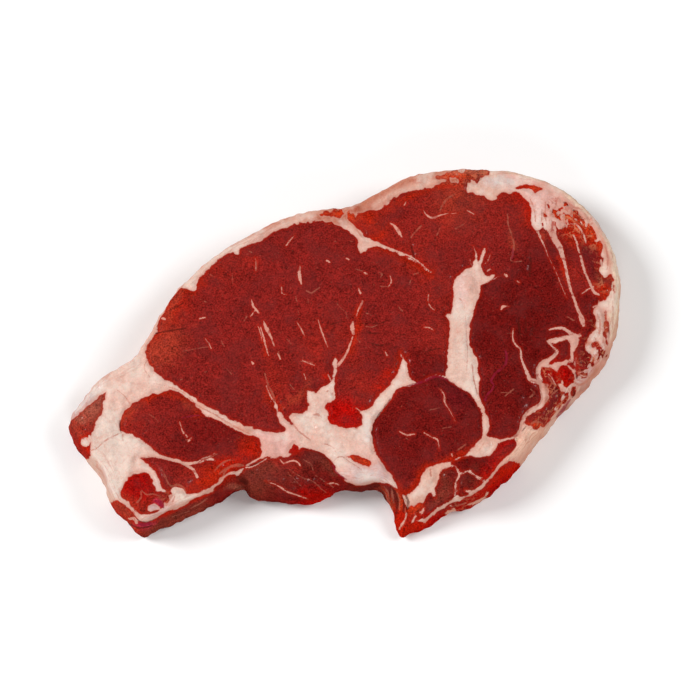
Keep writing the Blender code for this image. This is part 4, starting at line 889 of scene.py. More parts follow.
# Colours of the lean and of the fat, as linear red, green and blue.
leanColours = {
    "deep": (0.116, 0.0044, 0.0037), "plum": (0.12, 0.0067, 0.0081),
    "garnet": (0.145, 0.0067, 0.0056), "crimson": (0.205, 0.0122, 0.0097),
    "ruby": (0.26, 0.0146, 0.0094), "scarlet": (0.31, 0.0022, 0.0014),
    "orange": (0.37, 0.015, 0.004), "rosy": (0.32, 0.0317, 0.0163),
    "brown": (0.17, 0.0244, 0.015), "greyRed": (0.31, 0.075, 0.046), "umber": (0.11, 0.011, 0.0075),
    "flame": (0.4, 0.01, 0.003), "ember": (0.52, 0.042, 0.01), "rose": (0.5, 0.035, 0.07),
    "rust": (0.48, 0.115, 0.062), "cherry": (0.38, 0.003, 0.0018),
}
fatColours = {
    "cream": (0.74, 0.5, 0.42), "ivory": (0.71, 0.58, 0.505), "pearl": (0.73, 0.52, 0.435),
    "pink": (0.72, 0.42, 0.37), "peach": (0.59, 0.27, 0.2), "tan": (0.44, 0.125, 0.072),
    "blush": (0.62, 0.32, 0.26), "wax": (0.7, 0.43, 0.34), "lilac": (0.56, 0.4, 0.39),
    "beige": (0.86, 0.57, 0.42), "sand": (0.78, 0.64, 0.48), "russet": (0.5, 0.17, 0.1),
    "brick": (0.34, 0.055, 0.025), "pinkWhite": (0.76, 0.53, 0.48), "apricot": (0.6, 0.26, 0.18),
    "greyWhite": (0.66, 0.56, 0.53), "mauve": (0.33, 0.15, 0.13),
}
# Pools of colour: x, y, reach, colour.
leanPools = [
    (-74, -3, 7, "rosy"), (-69, 13, 6, "orange"), (-60, 15, 10, "crimson"), (-50, 29, 7, "ruby"),
    (-30, 38, 9, "crimson"), (-12, 44, 8, "crimson"), (0, 38, 8, "crimson"),
    (-40, 15, 12, "crimson"), (-20, 10, 12, "crimson"), (-45, -5, 12, "crimson"),
    (-60, -15, 9, "crimson"), (-45, -25, 9, "crimson"), (-29, -21, 4, "ruby"),
    (-33, -33, 6, "crimson"), (-10, 0, 8, "ruby"), (10, 20, 12, "crimson"),
    (27, 10, 12, "crimson"), (36, 18, 6, "ruby"), (37, 0, 6, "ruby"), (30, -13, 6, "garnet"),
    (5, -15, 8, "crimson"), (17, -18, 2.5, "flame"), (13.5, -23.5, 2.5, "flame"),
    (22, -12, 2, "orange"), (0, -33.6, 4.5, "cherry"), (20, 34, 5, "ruby"), (30, 30, 4, "ruby"),
    (6, 50, 5, "orange"), (15, 50, 6, "ruby"), (25, 55, 8, "crimson"), (36, 48, 8, "ruby"),
    (46, 56, 8, "rosy"), (56, 52, 7, "crimson"), (65, 55, 7, "ruby"), (72, 53, 4, "orange"),
    (45, 38, 8, "crimson"), (62, 40, 9, "crimson"), (72, 30, 8, "garnet"), (80, 25, 7, "garnet"),
    (60, 15, 7, "garnet"), (72, 10, 9, "deep"), (84, 8, 6, "garnet"), (55, 0, 6, "deep"),
    (62, -2, 6, "garnet"), (73, -5, 5, "deep"), (91, 25, 4, "ruby"), (98, 32, 4, "crimson"),
    (98, 45, 5, "orange"), (93, 12, 4, "garnet"), (95, 2, 4, "garnet"), (58, -30, 6, "garnet"),
    (68, -25, 6, "deep"), (62, -38, 5, "garnet"), (18, -35, 6, "garnet"), (30, -30, 8, "garnet"),
    (43, -25, 6, "plum"), (48, -38, 7, "garnet"), (30, -45, 8, "garnet"), (20, -50, 6, "garnet"),
    (24, -59, 4, "garnet"), (36, -17, 2.5, "plum"), (-80, -33, 6, "ruby"),
    (-70, -32, 7, "crimson"), (-60, -40, 8, "garnet"), (-47, -43, 7, "garnet"),
    (-37, -46, 4, "orange"), (-75, -42, 6, "crimson"), (-70, -54, 5, "crimson"),
    (-60, -60, 5, "ruby"), (-50, -56, 5, "orange"), (-79, -62, 5, "scarlet"),
    (-73, -66, 4, "ruby"), (-98, -30, 5, "greyRed"), (-104, -38, 5, "ruby"), (-104, -46, 4, "ruby"),
    (38, -60, 6, "garnet"), (50, -53, 5, "deep"), (47, -60, 4, "garnet"), (62, -46, 4, "crimson"),
    (-15, -52, 6, "umber"), (-30, -58, 6, "brown"), (-12, -60, 6, "garnet"),
    (-25, -64, 5, "garnet"), (-12, -68, 4.5, "scarlet"), (-60, -72, 6, "brown"),
    (-72, -78, 7, "brown"), (-48, -65, 6, "garnet"), (-83, -76, 5, "scarlet"),
    (58, -58, 6, "scarlet"), (45, -70, 6, "crimson"), (32, -78, 5, "scarlet"),
    (21, -78, 5, "flame"), (13, -66, 6, "umber"), (27, -68, 2, "orange"), (26, -77, 3, "orange"),
    (62, -54, 3, "flame"), (96, -14, 4, "garnet"), (85, 53, 3, "orange"), (89.5, 51, 2, "orange"),
    (104, 22, 3, "orange"), (-85, -71, 4, "rosy"), (99, -4, 2, "ruby"), (86, -16, 5, "scarlet"),
    (75, -35, 5, "ruby"), (84, -5, 4, "garnet"), (80, -25, 4, "garnet"), (73, 65, 5, "orange"),
    (5, -51, 4, "orange"), (-20, -46.5, 3, "scarlet"),
]
fatPools = [
    (-5, -42, 10, "cream"), (-15, -35, 6, "cream"), (4, -56, 5, "pink"), (9, -58, 4, "lilac"),
    (-27, -43, 6, "pink"), (-88, -25, 8, "cream"), (-94, -50, 8, "ivory"), (-92, -40, 7, "ivory"),
    (-87, -18, 6, "cream"), (-85, -52, 6, "cream"), (-88, -62, 5, "ivory"),
    (-72, -67, 4, "lilac"), (46, 22, 8, "cream"), (44, 0, 8, "pearl"), (50, -18, 6, "pearl"),
    (54, -33, 5, "wax"), (56, 64, 5, "wax"), (78, 57, 5, "pink"), (84, 49, 5, "blush"),
    (108, 20, 5, "cream"), (103, 48, 5, "pearl"), (92, 60, 5, "blush"), (72, 70, 5, "pink"),
    (60, 71, 4, "wax"), (44, 71, 5, "tan"), (32, 68, 4, "peach"), (18, 63, 4, "peach"),
    (5, 58, 4, "tan"), (-8, 54, 4, "tan"), (-20, 52, 3, "peach"), (-32, 47, 3, "blush"),
    (-52, 35, 3, "pearl"), (-64, 24, 4, "cream"), (-78, 0, 5, "cream"), (15, -26, 5, "pearl"),
    (24, -15, 4, "cream"), (32, -60, 5, "wax"), (54, -46, 4, "wax"), (70, -44, 6, "wax"),
    (80, -35, 6, "wax"), (101, 5, 5, "blush"), (107, 2, 5, "peach"), (99, -10, 6, "blush"),
    (90, -24, 7, "blush"), (-55, -30, 5, "wax"), (-65, -66, 4, "pearl"), (-106, -26, 6, "lilac"),
    (-100, -19, 5, "pearl"), (-102, -38, 4, "lilac"), (-44, -37, 5, "wax"),
]
# Soft bands of colour over the pools: colour, then x, y, half width at each point.
leanWashes = [
    ("flame", [(7, -31.6, 2.2), (12, -26.4, 3), (16, -21.4, 3.2), (20, -16.4, 2.6),
        (22, -11, 1.6)]),
    ("orange", [(4, 51, 3.5), (9, 50, 4.5), (13, 46, 4), (12, 42.4, 2.5)]),
    ("orange", [(18, 56, 2), (26, 60.6, 1.8), (36, 64.6, 1.8), (46, 67, 1.8)]),
    ("flame", [(69, 62.6, 1.8), (72.4, 57.6, 2.6), (74, 51.4, 2), (76, 46.6, 1.2)]),
    ("orange", [(11, 38.6, 1.4), (20, 35.4, 1.6), (28, 30.4, 1.8), (34, 26.4, 2.4)]),
    ("orange", [(-75, 1, 3), (-71.6, 10, 4), (-67, 18.4, 3.4), (-58, 23.6, 2.2)]),
    ("ruby", [(-56, 27, 2), (-48, 33.4, 2.4), (-38, 38.4, 2)]),
    ("rosy", [(-77, -6, 4), (-72, -4, 6)]),
    ("orange", [(-78, -26.6, 1.2), (-72, -24, 1.4), (-65, -25.6, 1.6), (-60, -29.6, 1.6),
        (-56.4, -33, 1.4)]),
    ("orange", [(-86.6, -32, 1.6), (-82, -28.8, 1.8), (-78, -26.8, 1.4)]),
    ("flame", [(-51, -52.6, 1.2), (-47, -53, 2.4), (-42, -51.4, 3), (-36.4, -47.6, 3),
        (-34.6, -43.4, 2)]),
    ("orange", [(-63, -62.8, 1.4), (-58, -63.2, 2.4), (-53, -60, 2.8), (-49, -56, 2.4)]),
    ("scarlet", [(-79, -59, 3), (-81, -64, 3)]),
    ("orange", [(19.6, -60, 1.2), (23.4, -62.8, 1.8), (27.6, -59, 1.6), (30.4, -54.6, 1.4),
        (37, -52, 1.6), (45.6, -48.6, 1.6), (51, -44, 1.4)]),
    ("orange", [(85.4, 33, 1), (87.2, 28, 1.2), (88, 23, 1)]),
    ("orange", [(95.6, 48, 2.2), (98.6, 44.4, 2), (100, 41, 1.2)]),
    ("orange", [(102, 26, 2), (104.6, 23.4, 2.4), (103.6, 19, 1.8)]),
    ("scarlet", [(58.6, -47.6, 1), (61.6, -44.8, 1), (65, -43.6, 1)]),
    ("orange", [(-60, -63.4, 1.4), (-56, -62, 2), (-52, -59, 1.6)]),
    ("ember", [(13.4, -63, 0.7), (16.6, -67, 0.9), (17.4, -72, 0.9), (17.4, -78, 0.9)]),
    ("ember", [(19.4, -63.6, 0.7), (21, -68, 0.8), (21, -72, 0.8)]),
    ("rosy", [(11.4, -64, 0.6), (12.6, -69, 0.8)]),
    ("rust", [(36, 70, 2.4), (42, 71.4, 3), (48, 72.4, 3), (56, 72, 3)]),
    ("ember", [(39, 70.4, 0.9), (46, 69.4, 1), (52, 69.6, 0.9)]),
    ("ember", [(-10, 53.2, 1.4), (-3, 53.6, 2.4), (3, 52.4, 2.4)]),
    ("ember", [(95, 48.6, 1.6), (98.6, 46, 2), (99, 43, 1.4)]),
    ("ember", [(102.4, 38, 1.6)]),
    ("rosy", [(106, 25.4, 1.6), (106, 21, 1.6)]),
    ("plum", [(95.6, 38, 2.4), (97.4, 31, 3), (98.8, 25, 2)]),
    ("scarlet", [(87.8, -15, 1.8), (88.2, -18.4, 1.8)]),
    ("crimson", [(79.4, -17, 1.6), (82, -23, 2.4), (81, -29, 2.4), (77, -34.6, 2.4)]),
    ("rosy", [(-86.6, -69, 1.6), (-83.6, -73, 2.2)]),
    ("rosy", [(-85, -77, 2.6), (-82.6, -80, 2.6)]),
    ("rose", [(-79.4, -77.6, 1.4), (-75.8, -77.8, 1.4)]),
    ("rose", [(-73.6, -67.8, 0.8), (-71.6, -69.4, 1.1)]),
    ("flame", [(-15, -65.6, 1.6), (-11, -67.2, 2.6), (-7.6, -67.8, 2.2)]),
    ("brown", [(-37, -58, 3), (-36, -63, 3)]),
    ("garnet", [(80.6, -20, 1.6), (82.6, -25, 1.8), (80, -30.6, 1.8)]),
    ("scarlet", [(34, -77, 2.4), (44, -71.6, 2.4), (52, -66, 2.4)]),
    ("flame", [(51, -64.2, 1.6), (56, -60, 2.6), (61, -56, 3.2), (64, -54, 2.4)]),
    ("scarlet", [(-18, -64.4, 1.2), (-13, -66.4, 2), (-8.6, -67.8, 2.2)]),
    ("ruby", [(-28, -51, 1.6), (-24, -53.4, 2.4), (-20, -55.6, 1.6)]),
    ("flame", [(20, -74, 1.6), (20.4, -81, 2.6)]),
    ("flame", [(24.6, -77.6, 1.6), (31, -77.6, 1.4)]),
    ("ember", [(23.6, -68.4, 1.4), (28.4, -67.4, 1.2)]),
    ("ember", [(70.4, -37, 1.2), (75.6, -37.6, 1.4)]),
    ("ember", [(0, -49.6, 1.6), (9.4, -52.6, 1.8)]),
    ("scarlet", [(-20.4, -46.2, 2)]),
    ("rosy", [(-107, -36, 2.4), (-104.6, -40.6, 2.4), (-102.4, -42, 1.6)]),
    ("flame", [(-100.6, -41.4, 1.2), (-103.2, -44.6, 1.4), (-100, -47.6, 1.4)]),
    ("ember", [(81.6, 54.8, 1), (86, 50.6, 1.4)]),
    ("ember", [(77, 64.4, 1.6), (79.4, 64, 1.2)]),
    ("ember", [(87.6, 57, 1.6)]),
    ("ember", [(88, 52, 1.6), (92, 50, 1.6), (94, 46, 1.2)]),
    ("scarlet", [(85.4, -14, 2.2), (87, -18, 2.6)]),
    ("garnet", [(94, 4, 2), (93.4, -3, 2.2), (92.6, -9, 2.2)]),
    ("ruby", [(-33.4, 3, 1.8), (-31.6, -7, 2.2), (-29.4, -17, 2.4), (-27.6, -27, 2.6)]),
    ("orange", [(-33, -1, 1), (-31.2, -8, 1.2)]),
    ("orange", [(-32, -24, 1.6), (-27.6, -29, 1.8)]),
    ("rosy", [(-22, -28, 1.4), (-17.6, -25, 1.6), (-14.6, -19, 1.4)]),
    ("ruby", [(4.6, 3, 2), (2, -8, 3.4), (3.6, -18, 5), (8, -25, 4)]),
    ("orange", [(5.4, 12.4, 1.3), (4.2, 2, 1.3), (1.4, -7, 1.3)]),
    ("flame", [(-7.6, -17.4, 1.6)]),
    ("orange", [(21.6, -6.6, 1.2), (20.8, -12, 2.2)]),
    ("ruby", [(-44, 34, 2), (-36, 32, 2.6)]),
    ("rosy", [(66, 44, 1.2), (67.2, 38, 1.4)]),
    ("brown", [(37.6, -57, 2), (38.4, -62, 2.6), (34.6, -68, 3)]),
    ("umber", [(46, -61, 2.4), (50.4, -54.4, 2)]),
    ("rust", [(102.8, 8, 0.9), (103.4, 1, 0.9)]),
    ("brown", [(103, 4, 0.7), (102.6, -3.4, 0.9)]),
    # painted shade: the dark patch at the right rim
    ("umber", [(101.4, -5.6, 1), (101.2, -8.4, 1)]),
    ("ruby", [(97.4, -8, 1.2), (97.4, -11.4, 1.2)]),
    ("ruby", [(91, -13.6, 1.8), (95, -14.4, 1.6)]),
    # painted shade: the grey-brown patch low on the right
    ("brown", [(89.2, -21.8, 1), (89.2, -25, 1)]),
    ("flame", [(-79, -76.2, 1), (-72, -74.4, 1.1), (-62, -69.8, 1), (-52, -64.6, 0.9)]),
    ("rosy", [(-86.4, -69.4, 1.8), (-82, -73.6, 1.8)]),
    ("rosy", [(-88, -35, 2), (-83, -29.6, 2.4)]),
    ("rosy", [(-74, 4, 1.8), (-70, 12, 2.2), (-66, 20, 1.8)]),
    ("rosy", [(-63, -27.6, 1.6), (-58, -30.4, 1.6)]),
    # a painted highlight: the greyish sheen low on the side
    ("greyRed", [(-44.4, -62.6, 1.4), (-41.6, -63.2, 1.4)]),
    ("brown", [(-13, -50.4, 2), (-9, -52, 2), (-5, -56.6, 1.4)]),
    ("garnet", [(-56, -50.4, 1.8), (-52.6, -51, 1.6)]),
    ("brown", [(100.6, 26.4, 1.8), (101.2, 23.6, 1.8)]),
    ("rosy", [(79, 44, 1.6), (79, 41.6, 1.4)]),
    ("greyRed", [(-105.6, -33.4, 1.8), (-103, -35.4, 1.8)]),
]
fatWashes = [
    ("apricot", [(6, 57.4, 2.2), (12, 61.6, 2.2), (20, 66.4, 2.4), (29, 70.4, 2.6), (38, 72, 2.6),
        (46, 72.4, 2.2)]),
    ("russet", [(5, 56.6, 1.2), (11, 60.4, 1), (27, 68.4, 1), (38, 70.6, 1.1), (46, 71.2, 1.2)]),
    ("brick", [(47, 71.6, 1.2), (52, 71.8, 1.4), (57, 72, 1)]),
    ("wax", [(11, 56.8, 0.9), (19, 62.2, 1), (29, 65.4, 1.1), (37, 68.2, 0.8)]),
    ("brick", [(-8, 53.6, 1.4), (-2, 54.2, 1.8), (4, 55.4, 1.6)]),
    ("russet", [(-26, 51, 0.6), (-16, 53.9, 0.8), (-6, 54.8, 1.2), (2, 56, 1.4)]),
    ("pearl", [(-60, 23.6, 1), (-50, 35, 0.7), (-40, 41, 0.9), (-30, 46.2, 0.9),
        (-18, 50.6, 0.7)]),
    ("apricot", [(-66, 23.4, 1), (-55, 34.2, 1.2), (-41, 43.4, 1.4), (-30, 49.2, 1.5),
        (-20, 53.2, 1.6), (-9, 54.6, 1.8)]),
    ("peach", [(-68, -21.6, 0.6), (-55, -30.6, 0.8), (-44, -37, 0.8), (-38, -39.6, 0.7)]),
    ("peach", [(82.4, 49, 1.3), (84.4, 44, 1.1)]),
    ("russet", [(95.6, -1, 0.9), (96.4, -4, 0.9)]),
    ("russet", [(-0.5, 51.4, 0.5), (3.4, 47.6, 0.6), (6, 43.8, 0.5)]),
    ("russet", [(93.6, -1.4, 0.9), (96, -3.4, 0.9)]),
    ("brick", [(-51, -61, 1.6), (-48, -57.6, 2.2), (-44.4, -55, 2), (-41, -54.6, 1.2)]),
    ("russet", [(-50, -57, 1), (-45, -53, 1), (-40, -52.4, 0.8)]),
    ("sand", [(66, 72.4, 1.4), (78, 69, 1.6), (89, 62.4, 1.8), (98, 54, 1.8)]),
    ("peach", [(96, 52.6, 1.2), (102, 45, 1.2), (104, 38, 1)]),
    ("sand", [(105, 44, 2.2), (107.6, 34, 2.8), (108, 22, 3), (107.4, 10, 3.2), (105, 0, 2.4)]),
    ("peach", [(103, 42, 0.9), (104.8, 34, 1.2), (105.4, 28, 0.9)]),
    ("pinkWhite", [(77, 60, 2.4), (77.6, 53, 2.4), (79, 47, 1.6)]),
    ("pinkWhite", [(83, 50, 1.8), (84, 44, 1.8), (86.6, 37, 1.6)]),
    ("greyWhite", [(57, 67, 2.4), (65, 67.6, 2.4)]),
    ("greyWhite", [(5, -57.6, 3.4), (9.6, -57, 2.6)]),
    ("greyWhite", [(-106, -28.6, 1.6), (-101, -24.6, 1.8), (-96, -20.6, 1.6)]),
    ("greyWhite", [(7.6, -36, 1.6), (8.4, -43, 1.6)]),
    ("greyWhite", [(-95, -56, 1.4), (-91.6, -64, 1.4)]),
    ("ivory", [(-16, -35, 3.4)]),
    ("ivory", [(-92, -34, 4), (-95, -44, 3.4)]),
    ("pinkWhite", [(46, 26, 2.6), (45.6, 14, 2.4)]),
    ("wax", [(36, -73.4, 1.6), (42, -72, 1.6)]),
    ("wax", [(47, -69.6, 1.6), (55, -65, 1.6)]),
    ("beige", [(64, -48.6, 2.4), (70, -43.6, 3), (76, -39.4, 2.4)]),
    ("russet", [(60.4, -53.4, 0.9), (65, -54, 1)]),
    ("tan", [(96, -17.4, 1.4), (98.4, -14.6, 1.4)]),
    ("tan", [(91, -20.6, 0.8), (93, -20.6, 0.8)]),
    # painted shade around the dark patch at the right rim
    ("mauve", [(101.4, -6.4, 1.2), (102, -9, 1.2)]),
    ("mauve", [(92, -23, 1.6), (95.6, -21.6, 1.4)]),
    ("ivory", [(99.8, 11, 0.8), (100.6, 6, 1.2), (99.4, 1.4, 1.4), (97.6, -1, 1.2)]),
    ("ivory", [(82.6, -30, 1), (84.2, -27.4, 0.9), (86, -23.6, 0.9)]),
    ("mauve", [(83.4, -34.4, 1), (86.4, -30.4, 1.4), (89, -27.2, 1)]),
    # painted shade around the grey-brown patch low on the right
    ("russet", [(88, -25.4, 0.8), (89.4, -22.4, 0.7)]),
    ("ivory", [(-67, -64.6, 1.2), (-63.4, -66, 2), (-59.6, -66, 1.2)]),
    ("blush", [(-68.6, -68, 1.6), (-66.6, -69.6, 1.4)]),
    ("tan", [(78.6, -19, 0.8), (79, -25, 0.9), (77.6, -28.4, 0.8)]),
    ("lilac", [(92.4, -18.6, 2.2), (96, -14.6, 1.4)]),
    ("tan", [(94, 52.4, 1.2), (92, 54, 1.4)]),
    ("blush", [(86, 61, 2.4), (80, 67, 2)]),
]
# Red mottling in the fat and pale mottling in the lean: x, y, reach, strength.
mottledPlaces = [
    (81, -24, 6, 0.9), (75, -36, 5, 0.9), (94, -12, 5, 1), (84, 54, 7, 2.3), (93, 51, 5, 2.2),
    (88, 47, 4, 1.6), (103, 20, 4.5, 2), (102, 33, 3.5, 1.4), (102, 40, 3, 1), (-69, -67, 3, 0.9),
    (-104, -40, 5, 0.5), (0, 55, 6, 1.2), (-15, 53, 6, 0.9), (50, 71, 8, 1.6), (32, 69, 5, 1),
    (7, -40, 4, 0.8), (40, -72, 9, 0.7), (56, -60, 7, 0.6), (-12, -62, 12, 0.3),
    (-9, -33, 5, 0.6), (99, -8, 5, 1.5), (102, 3, 3.5, 1), (94, -19, 4, 0.9), (16, 63, 5, 0.9),
    (-82, -75, 3, 0.8),
]
# Lean crossed by a fine net of fat: x, y, reach, strength.
nettedPlaces = [
    (80, -19, 3, 1), (82, -25, 4, 0.6), (80, -31, 4, 0.7), (75.6, -35.6, 3.4, 0.5),
    (94, -12.5, 3, 0.5), (84.6, -28, 2.6, 0.6), (78, -14.6, 2.4, 0.8), (88, 52, 6, 0.9),
    (97, 49, 5, 1), (100.6, 5, 4, 0.8), (91, 47, 4, 1), (85, 58, 3, 0.8), (100, 41, 4, 0.8),
    (99.6, -9, 4.6, 0.8), (93, -18.6, 3.6, 0.6), (30, 69, 4, 0.6), (44, 70.4, 4, 0.7),
    (15, 61, 4, 0.5), (-1, 54, 4, 0.7), (79, 52, 4, 0.5), (96, -2, 2.6, 0.4), (103, 22, 3.5, 0.8),
    (101, 31, 2.5, 0.7), (86, 53, 5, 0.5), (-69, -67, 2.5, 0.6), (46, -70, 7, 0.4),
    (98, -7, 4, 0.8), (52, 71, 6, 0.6),
]


# Places where the lean's edge stands a little further out: x, y, reach, how far.
widerPlaces = [
    (48, -58, 9, 0.35), (86, -5, 7, 0.35), (100, 6, 5, 0.3), (90, 40, 6, 0.25),
    (3.4, 46.6, 4.5, 0.6), (26, 33, 5, 0.25), (49.6, 2, 8, -0.3), (54, -18, 6, -0.3),
    (36, -65, 6, 0.3),
]


def blendPools(points, pools, colours, base):
    # The mean of the pools' colours at each point, weighted by their bell curves, with a
    # little of the base colour everywhere.
    share, spread = sliceShape["baseShare"], sliceShape["poolSpread"]
    total = np.tile(np.array(colours[base]) * share, (len(points), 1))
    weight = np.full(len(points), share)
    for x, y, reach, name in pools:
        squares = (points[:, 0] - x) ** 2 + (points[:, 1] - y) ** 2
        near = np.exp(-squares / (spread * reach ** 2))
        total += near[:, None] * np.array(colours[name])
        weight += near
    return total / weight[:, None]


def washOver(points, tone, washes, colours):
    # Lays each band of colour over the tones by a bell curve of the distance to its line,
    # which is a little uneven.
    uneven = 1 + wavesAt(points, "wash")
    for name, line in washes:
        path = smoothPath(line, 1.0, closed=False) if len(line) > 1 else np.array(line, float)
        near = boxed(points, path, sliceShape["washReach"] * path[:, 2].max())
        if len(path) > 1:
            distance, _, half = nearestOn(points[near], path, closed=False)
        else:
            distance, half = np.hypot(*(points[near] - path[0, :2]).T), path[0, 2]
        share = np.exp(-(distance * uneven[near] / half) ** 2)[:, None] * sliceShape["washStrength"]
        tone[near] += share * (np.array(colours[name]) - tone[near])
    return tone


def tissueAt(places, slant):
    # Where the tissue at a place meets the level of the face: it leans as it goes down.
    s = sliceShape
    down = s["faceLevel"] - places[:, 2]
    across = s["middle"] + (places[:, 0] - s["middle"]) * (1 - down * s["fibreSpread"])
    return np.stack([across, places[:, 1] - down * s["fibreLean"] * slant], 1) - s["tissueShift"]


def readTissue(places, slant):
    # What each place is made of: depth in the lean, threads, net and colours. The depth is
    # uneven near the lean's edge, and most where the tissue is mottled.
    s = sliceShape
    points = tissueAt(places, slant)
    depth = depthIn(points, muscles.values())
    depth = np.minimum(depth, -depthIn(points, fatIslands.values()))
    depth += dips(points, widerPlaces)
    mottle = np.minimum(dips(points, mottledPlaces), s["mottleMost"])
    mottle *= softStep(-np.abs(depth), *s["mottleFade"])
    depth += mottle * wavesAt(places * s["mottleStretch"], "mottle", "mottleFine")
    depth += wavesAt(places, "border") * softStep(-np.abs(depth), -3, 0)
    lean = blendPools(points, leanPools, leanColours, "crimson")
    fat = blendPools(points, fatPools, fatColours, "cream")
    tissue = {
        "depth": depth,
        "net": np.minimum(dips(points, nettedPlaces), 1),
        "lean": washOver(points, lean, leanWashes, leanColours),
        "fat": washOver(points, fat, fatWashes, fatColours),
    }
    for family, layers in threadLayers.items():
        for k, layer in enumerate(layers):
            tissue[family + str(k)] = threadField(points, layer)
    return tissue


def familyOf(tissue, family):
    # The fields of every layer of one family of threads.
    return [tissue[family + str(k)] for k in range(len(threadLayers[family]))]


def outlineRing():
    # The outline from the first grid corner round, with the same number of steps on each
    # side as the grid has cells there, and a little unevenness across it.
    s = sliceShape
    fine = smoothPath(outline, 0.25)
    corner = [int(np.argmin(np.hypot(*(fine[:, :2] - c).T))) for c in gridCorners]
    counts = [s["columns"], s["rows"], s["columns"], s["rows"]]
    parts = []
    for k, count in enumerate(counts):
        span = (corner[(k + 1) % 4] - corner[k]) % len(fine)
        places = corner[k] + np.linspace(0, span, count, endpoint=False)
        whole = np.floor(places).astype(int)
        share = (places - whole)[:, None]
        parts.append(fine[whole % len(fine)] * (1 - share) + fine[(whole + 1) % len(fine)] * share)
    ring = np.vstack(parts)
    wander = wavesAt(ring[:, :2], "outline", "outlineFine")
    ring[:, :2] += outwardOf(ring[:, :2]) * wander[:, None]
    return ring


def smoothRound(values, width):
    # A closed row of values, each mixed with its neighbours over a bell of this width.
    span = np.arange(-3 * width, 3 * width + 1)
    bell = np.exp(-(span / width) ** 2)
    bell /= bell.sum()
    padded = np.concatenate([values[-3 * width:], values, values[:3 * width]])
    return np.stack([np.convolve(column, bell, "valid") for column in padded.T], 1)


def outwardOf(ring, width=4):
    # The way out at each point: a quarter turn from the smoothed way along the ring.
    along = smoothRound(np.roll(ring, -1, 0) - np.roll(ring, 1, 0), width)
    normal = np.stack([along[:, 1], -along[:, 0]], 1)
    return normal / np.linalg.norm(normal, axis=1)[:, None]


def fillPatch(ring, columns, rows):
    # A Coons patch: across the grid, each point is the mean of the straight lines between
    # opposite sides, less the plane through the corners. It is then relaxed a little.
    ends = np.cumsum([0, columns, rows, columns, rows])
    ring = np.vstack([ring, ring[:1]])
    low, right, high, left = (ring[a:b + 1] for a, b in zip(ends, ends[1:]))
    high, left = high[::-1], left[::-1]
    u = np.linspace(0, 1, columns + 1)[None, :, None]
    v = np.linspace(0, 1, rows + 1)[:, None, None]
    patch = (
        (1 - v) * low[None] + v * high[None] + (1 - u) * left[:, None] + u * right[:, None]
        - (1 - u) * (1 - v) * low[0] - u * (1 - v) * low[-1]
        - (1 - u) * v * high[0] - u * v * high[-1]
    )
    for _ in range(sliceShape["relaxRounds"]):
        patch[1:-1, 1:-1] = 0.25 * (
            patch[1:-1, :-2] + patch[1:-1, 2:] + patch[:-2, 1:-1] + patch[2:, 1:-1]
        )
    return patch


def patchRim(columns, rows):
    # The indices of a patch's outer points, round from its first corner.
    grid = np.arange((columns + 1) * (rows + 1)).reshape(rows + 1, columns + 1)
    return np.concatenate([grid[0, :-1], grid[:-1, -1], grid[-1, :0:-1], grid[:0:-1, 0]])


def faceHeight(places, edge, shoulder, tissue):
    # Height of the cut face: the fat level, crowned lean, grooves at its edges, threads
    # slightly sunk, sags, and near the outline a shoulder that rounds down to the side.
    s = sliceShape
    inward = nearestOn(places[:, :2], edge)[0]
    nearest = np.zeros(len(places), dtype=int)
    for block in np.array_split(np.arange(len(places)), 60):
        away = places[block, None, :2] - edge[None, ::3, :2]
        nearest[block] = 3 * np.argmin((away ** 2).sum(2), axis=1)
    width = shoulder[nearest]
    depth = tissue["depth"]
    crown = s["crownHeight"] * (1 - np.exp(-np.maximum(depth, 0) / s["crownReach"]))
    groove = s["grooveDepth"] * np.exp(-(depth / s["grooveReach"]) ** 2)
    thread = sinkAt(familyOf(tissue, "line") + familyOf(tissue, "wine"))
    cut = sinkAt(familyOf(tissue, "cut"))
    fadeStart, fadeEnd = s["grooveFade"]
    fade = np.clip((inward - fadeStart) / (fadeEnd - fadeStart), 0, 1)
    inFat = softStep(-depth, 0, 2)
    relief = wavesAt(places[:, :2], "face", "faceFine")
    relief += inFat * wavesAt(places[:, :2], "fat", "fatFine")
    sunk = groove + s["threadSink"] * thread + s["cutSink"] * cut
    height = s["fatLevel"] + crown - sunk * (s["edgeGroove"] + (1 - s["edgeGroove"]) * fade)
    height += relief * (s["edgeRelief"] + (1 - s["edgeRelief"]) * fade) - dips(places[:, :2], sags)
    fall = np.clip(1 - inward / width, 0, 1)
    low = s["sideShare"] * height
    return low + (height - low) * np.sqrt(np.maximum(1 - fall ** 2, 0)), inward


def quadFaces(first, second):
    # Quads between two rings of the same length.
    return np.stack([first, np.roll(first, -1), np.roll(second, -1), second], 1)


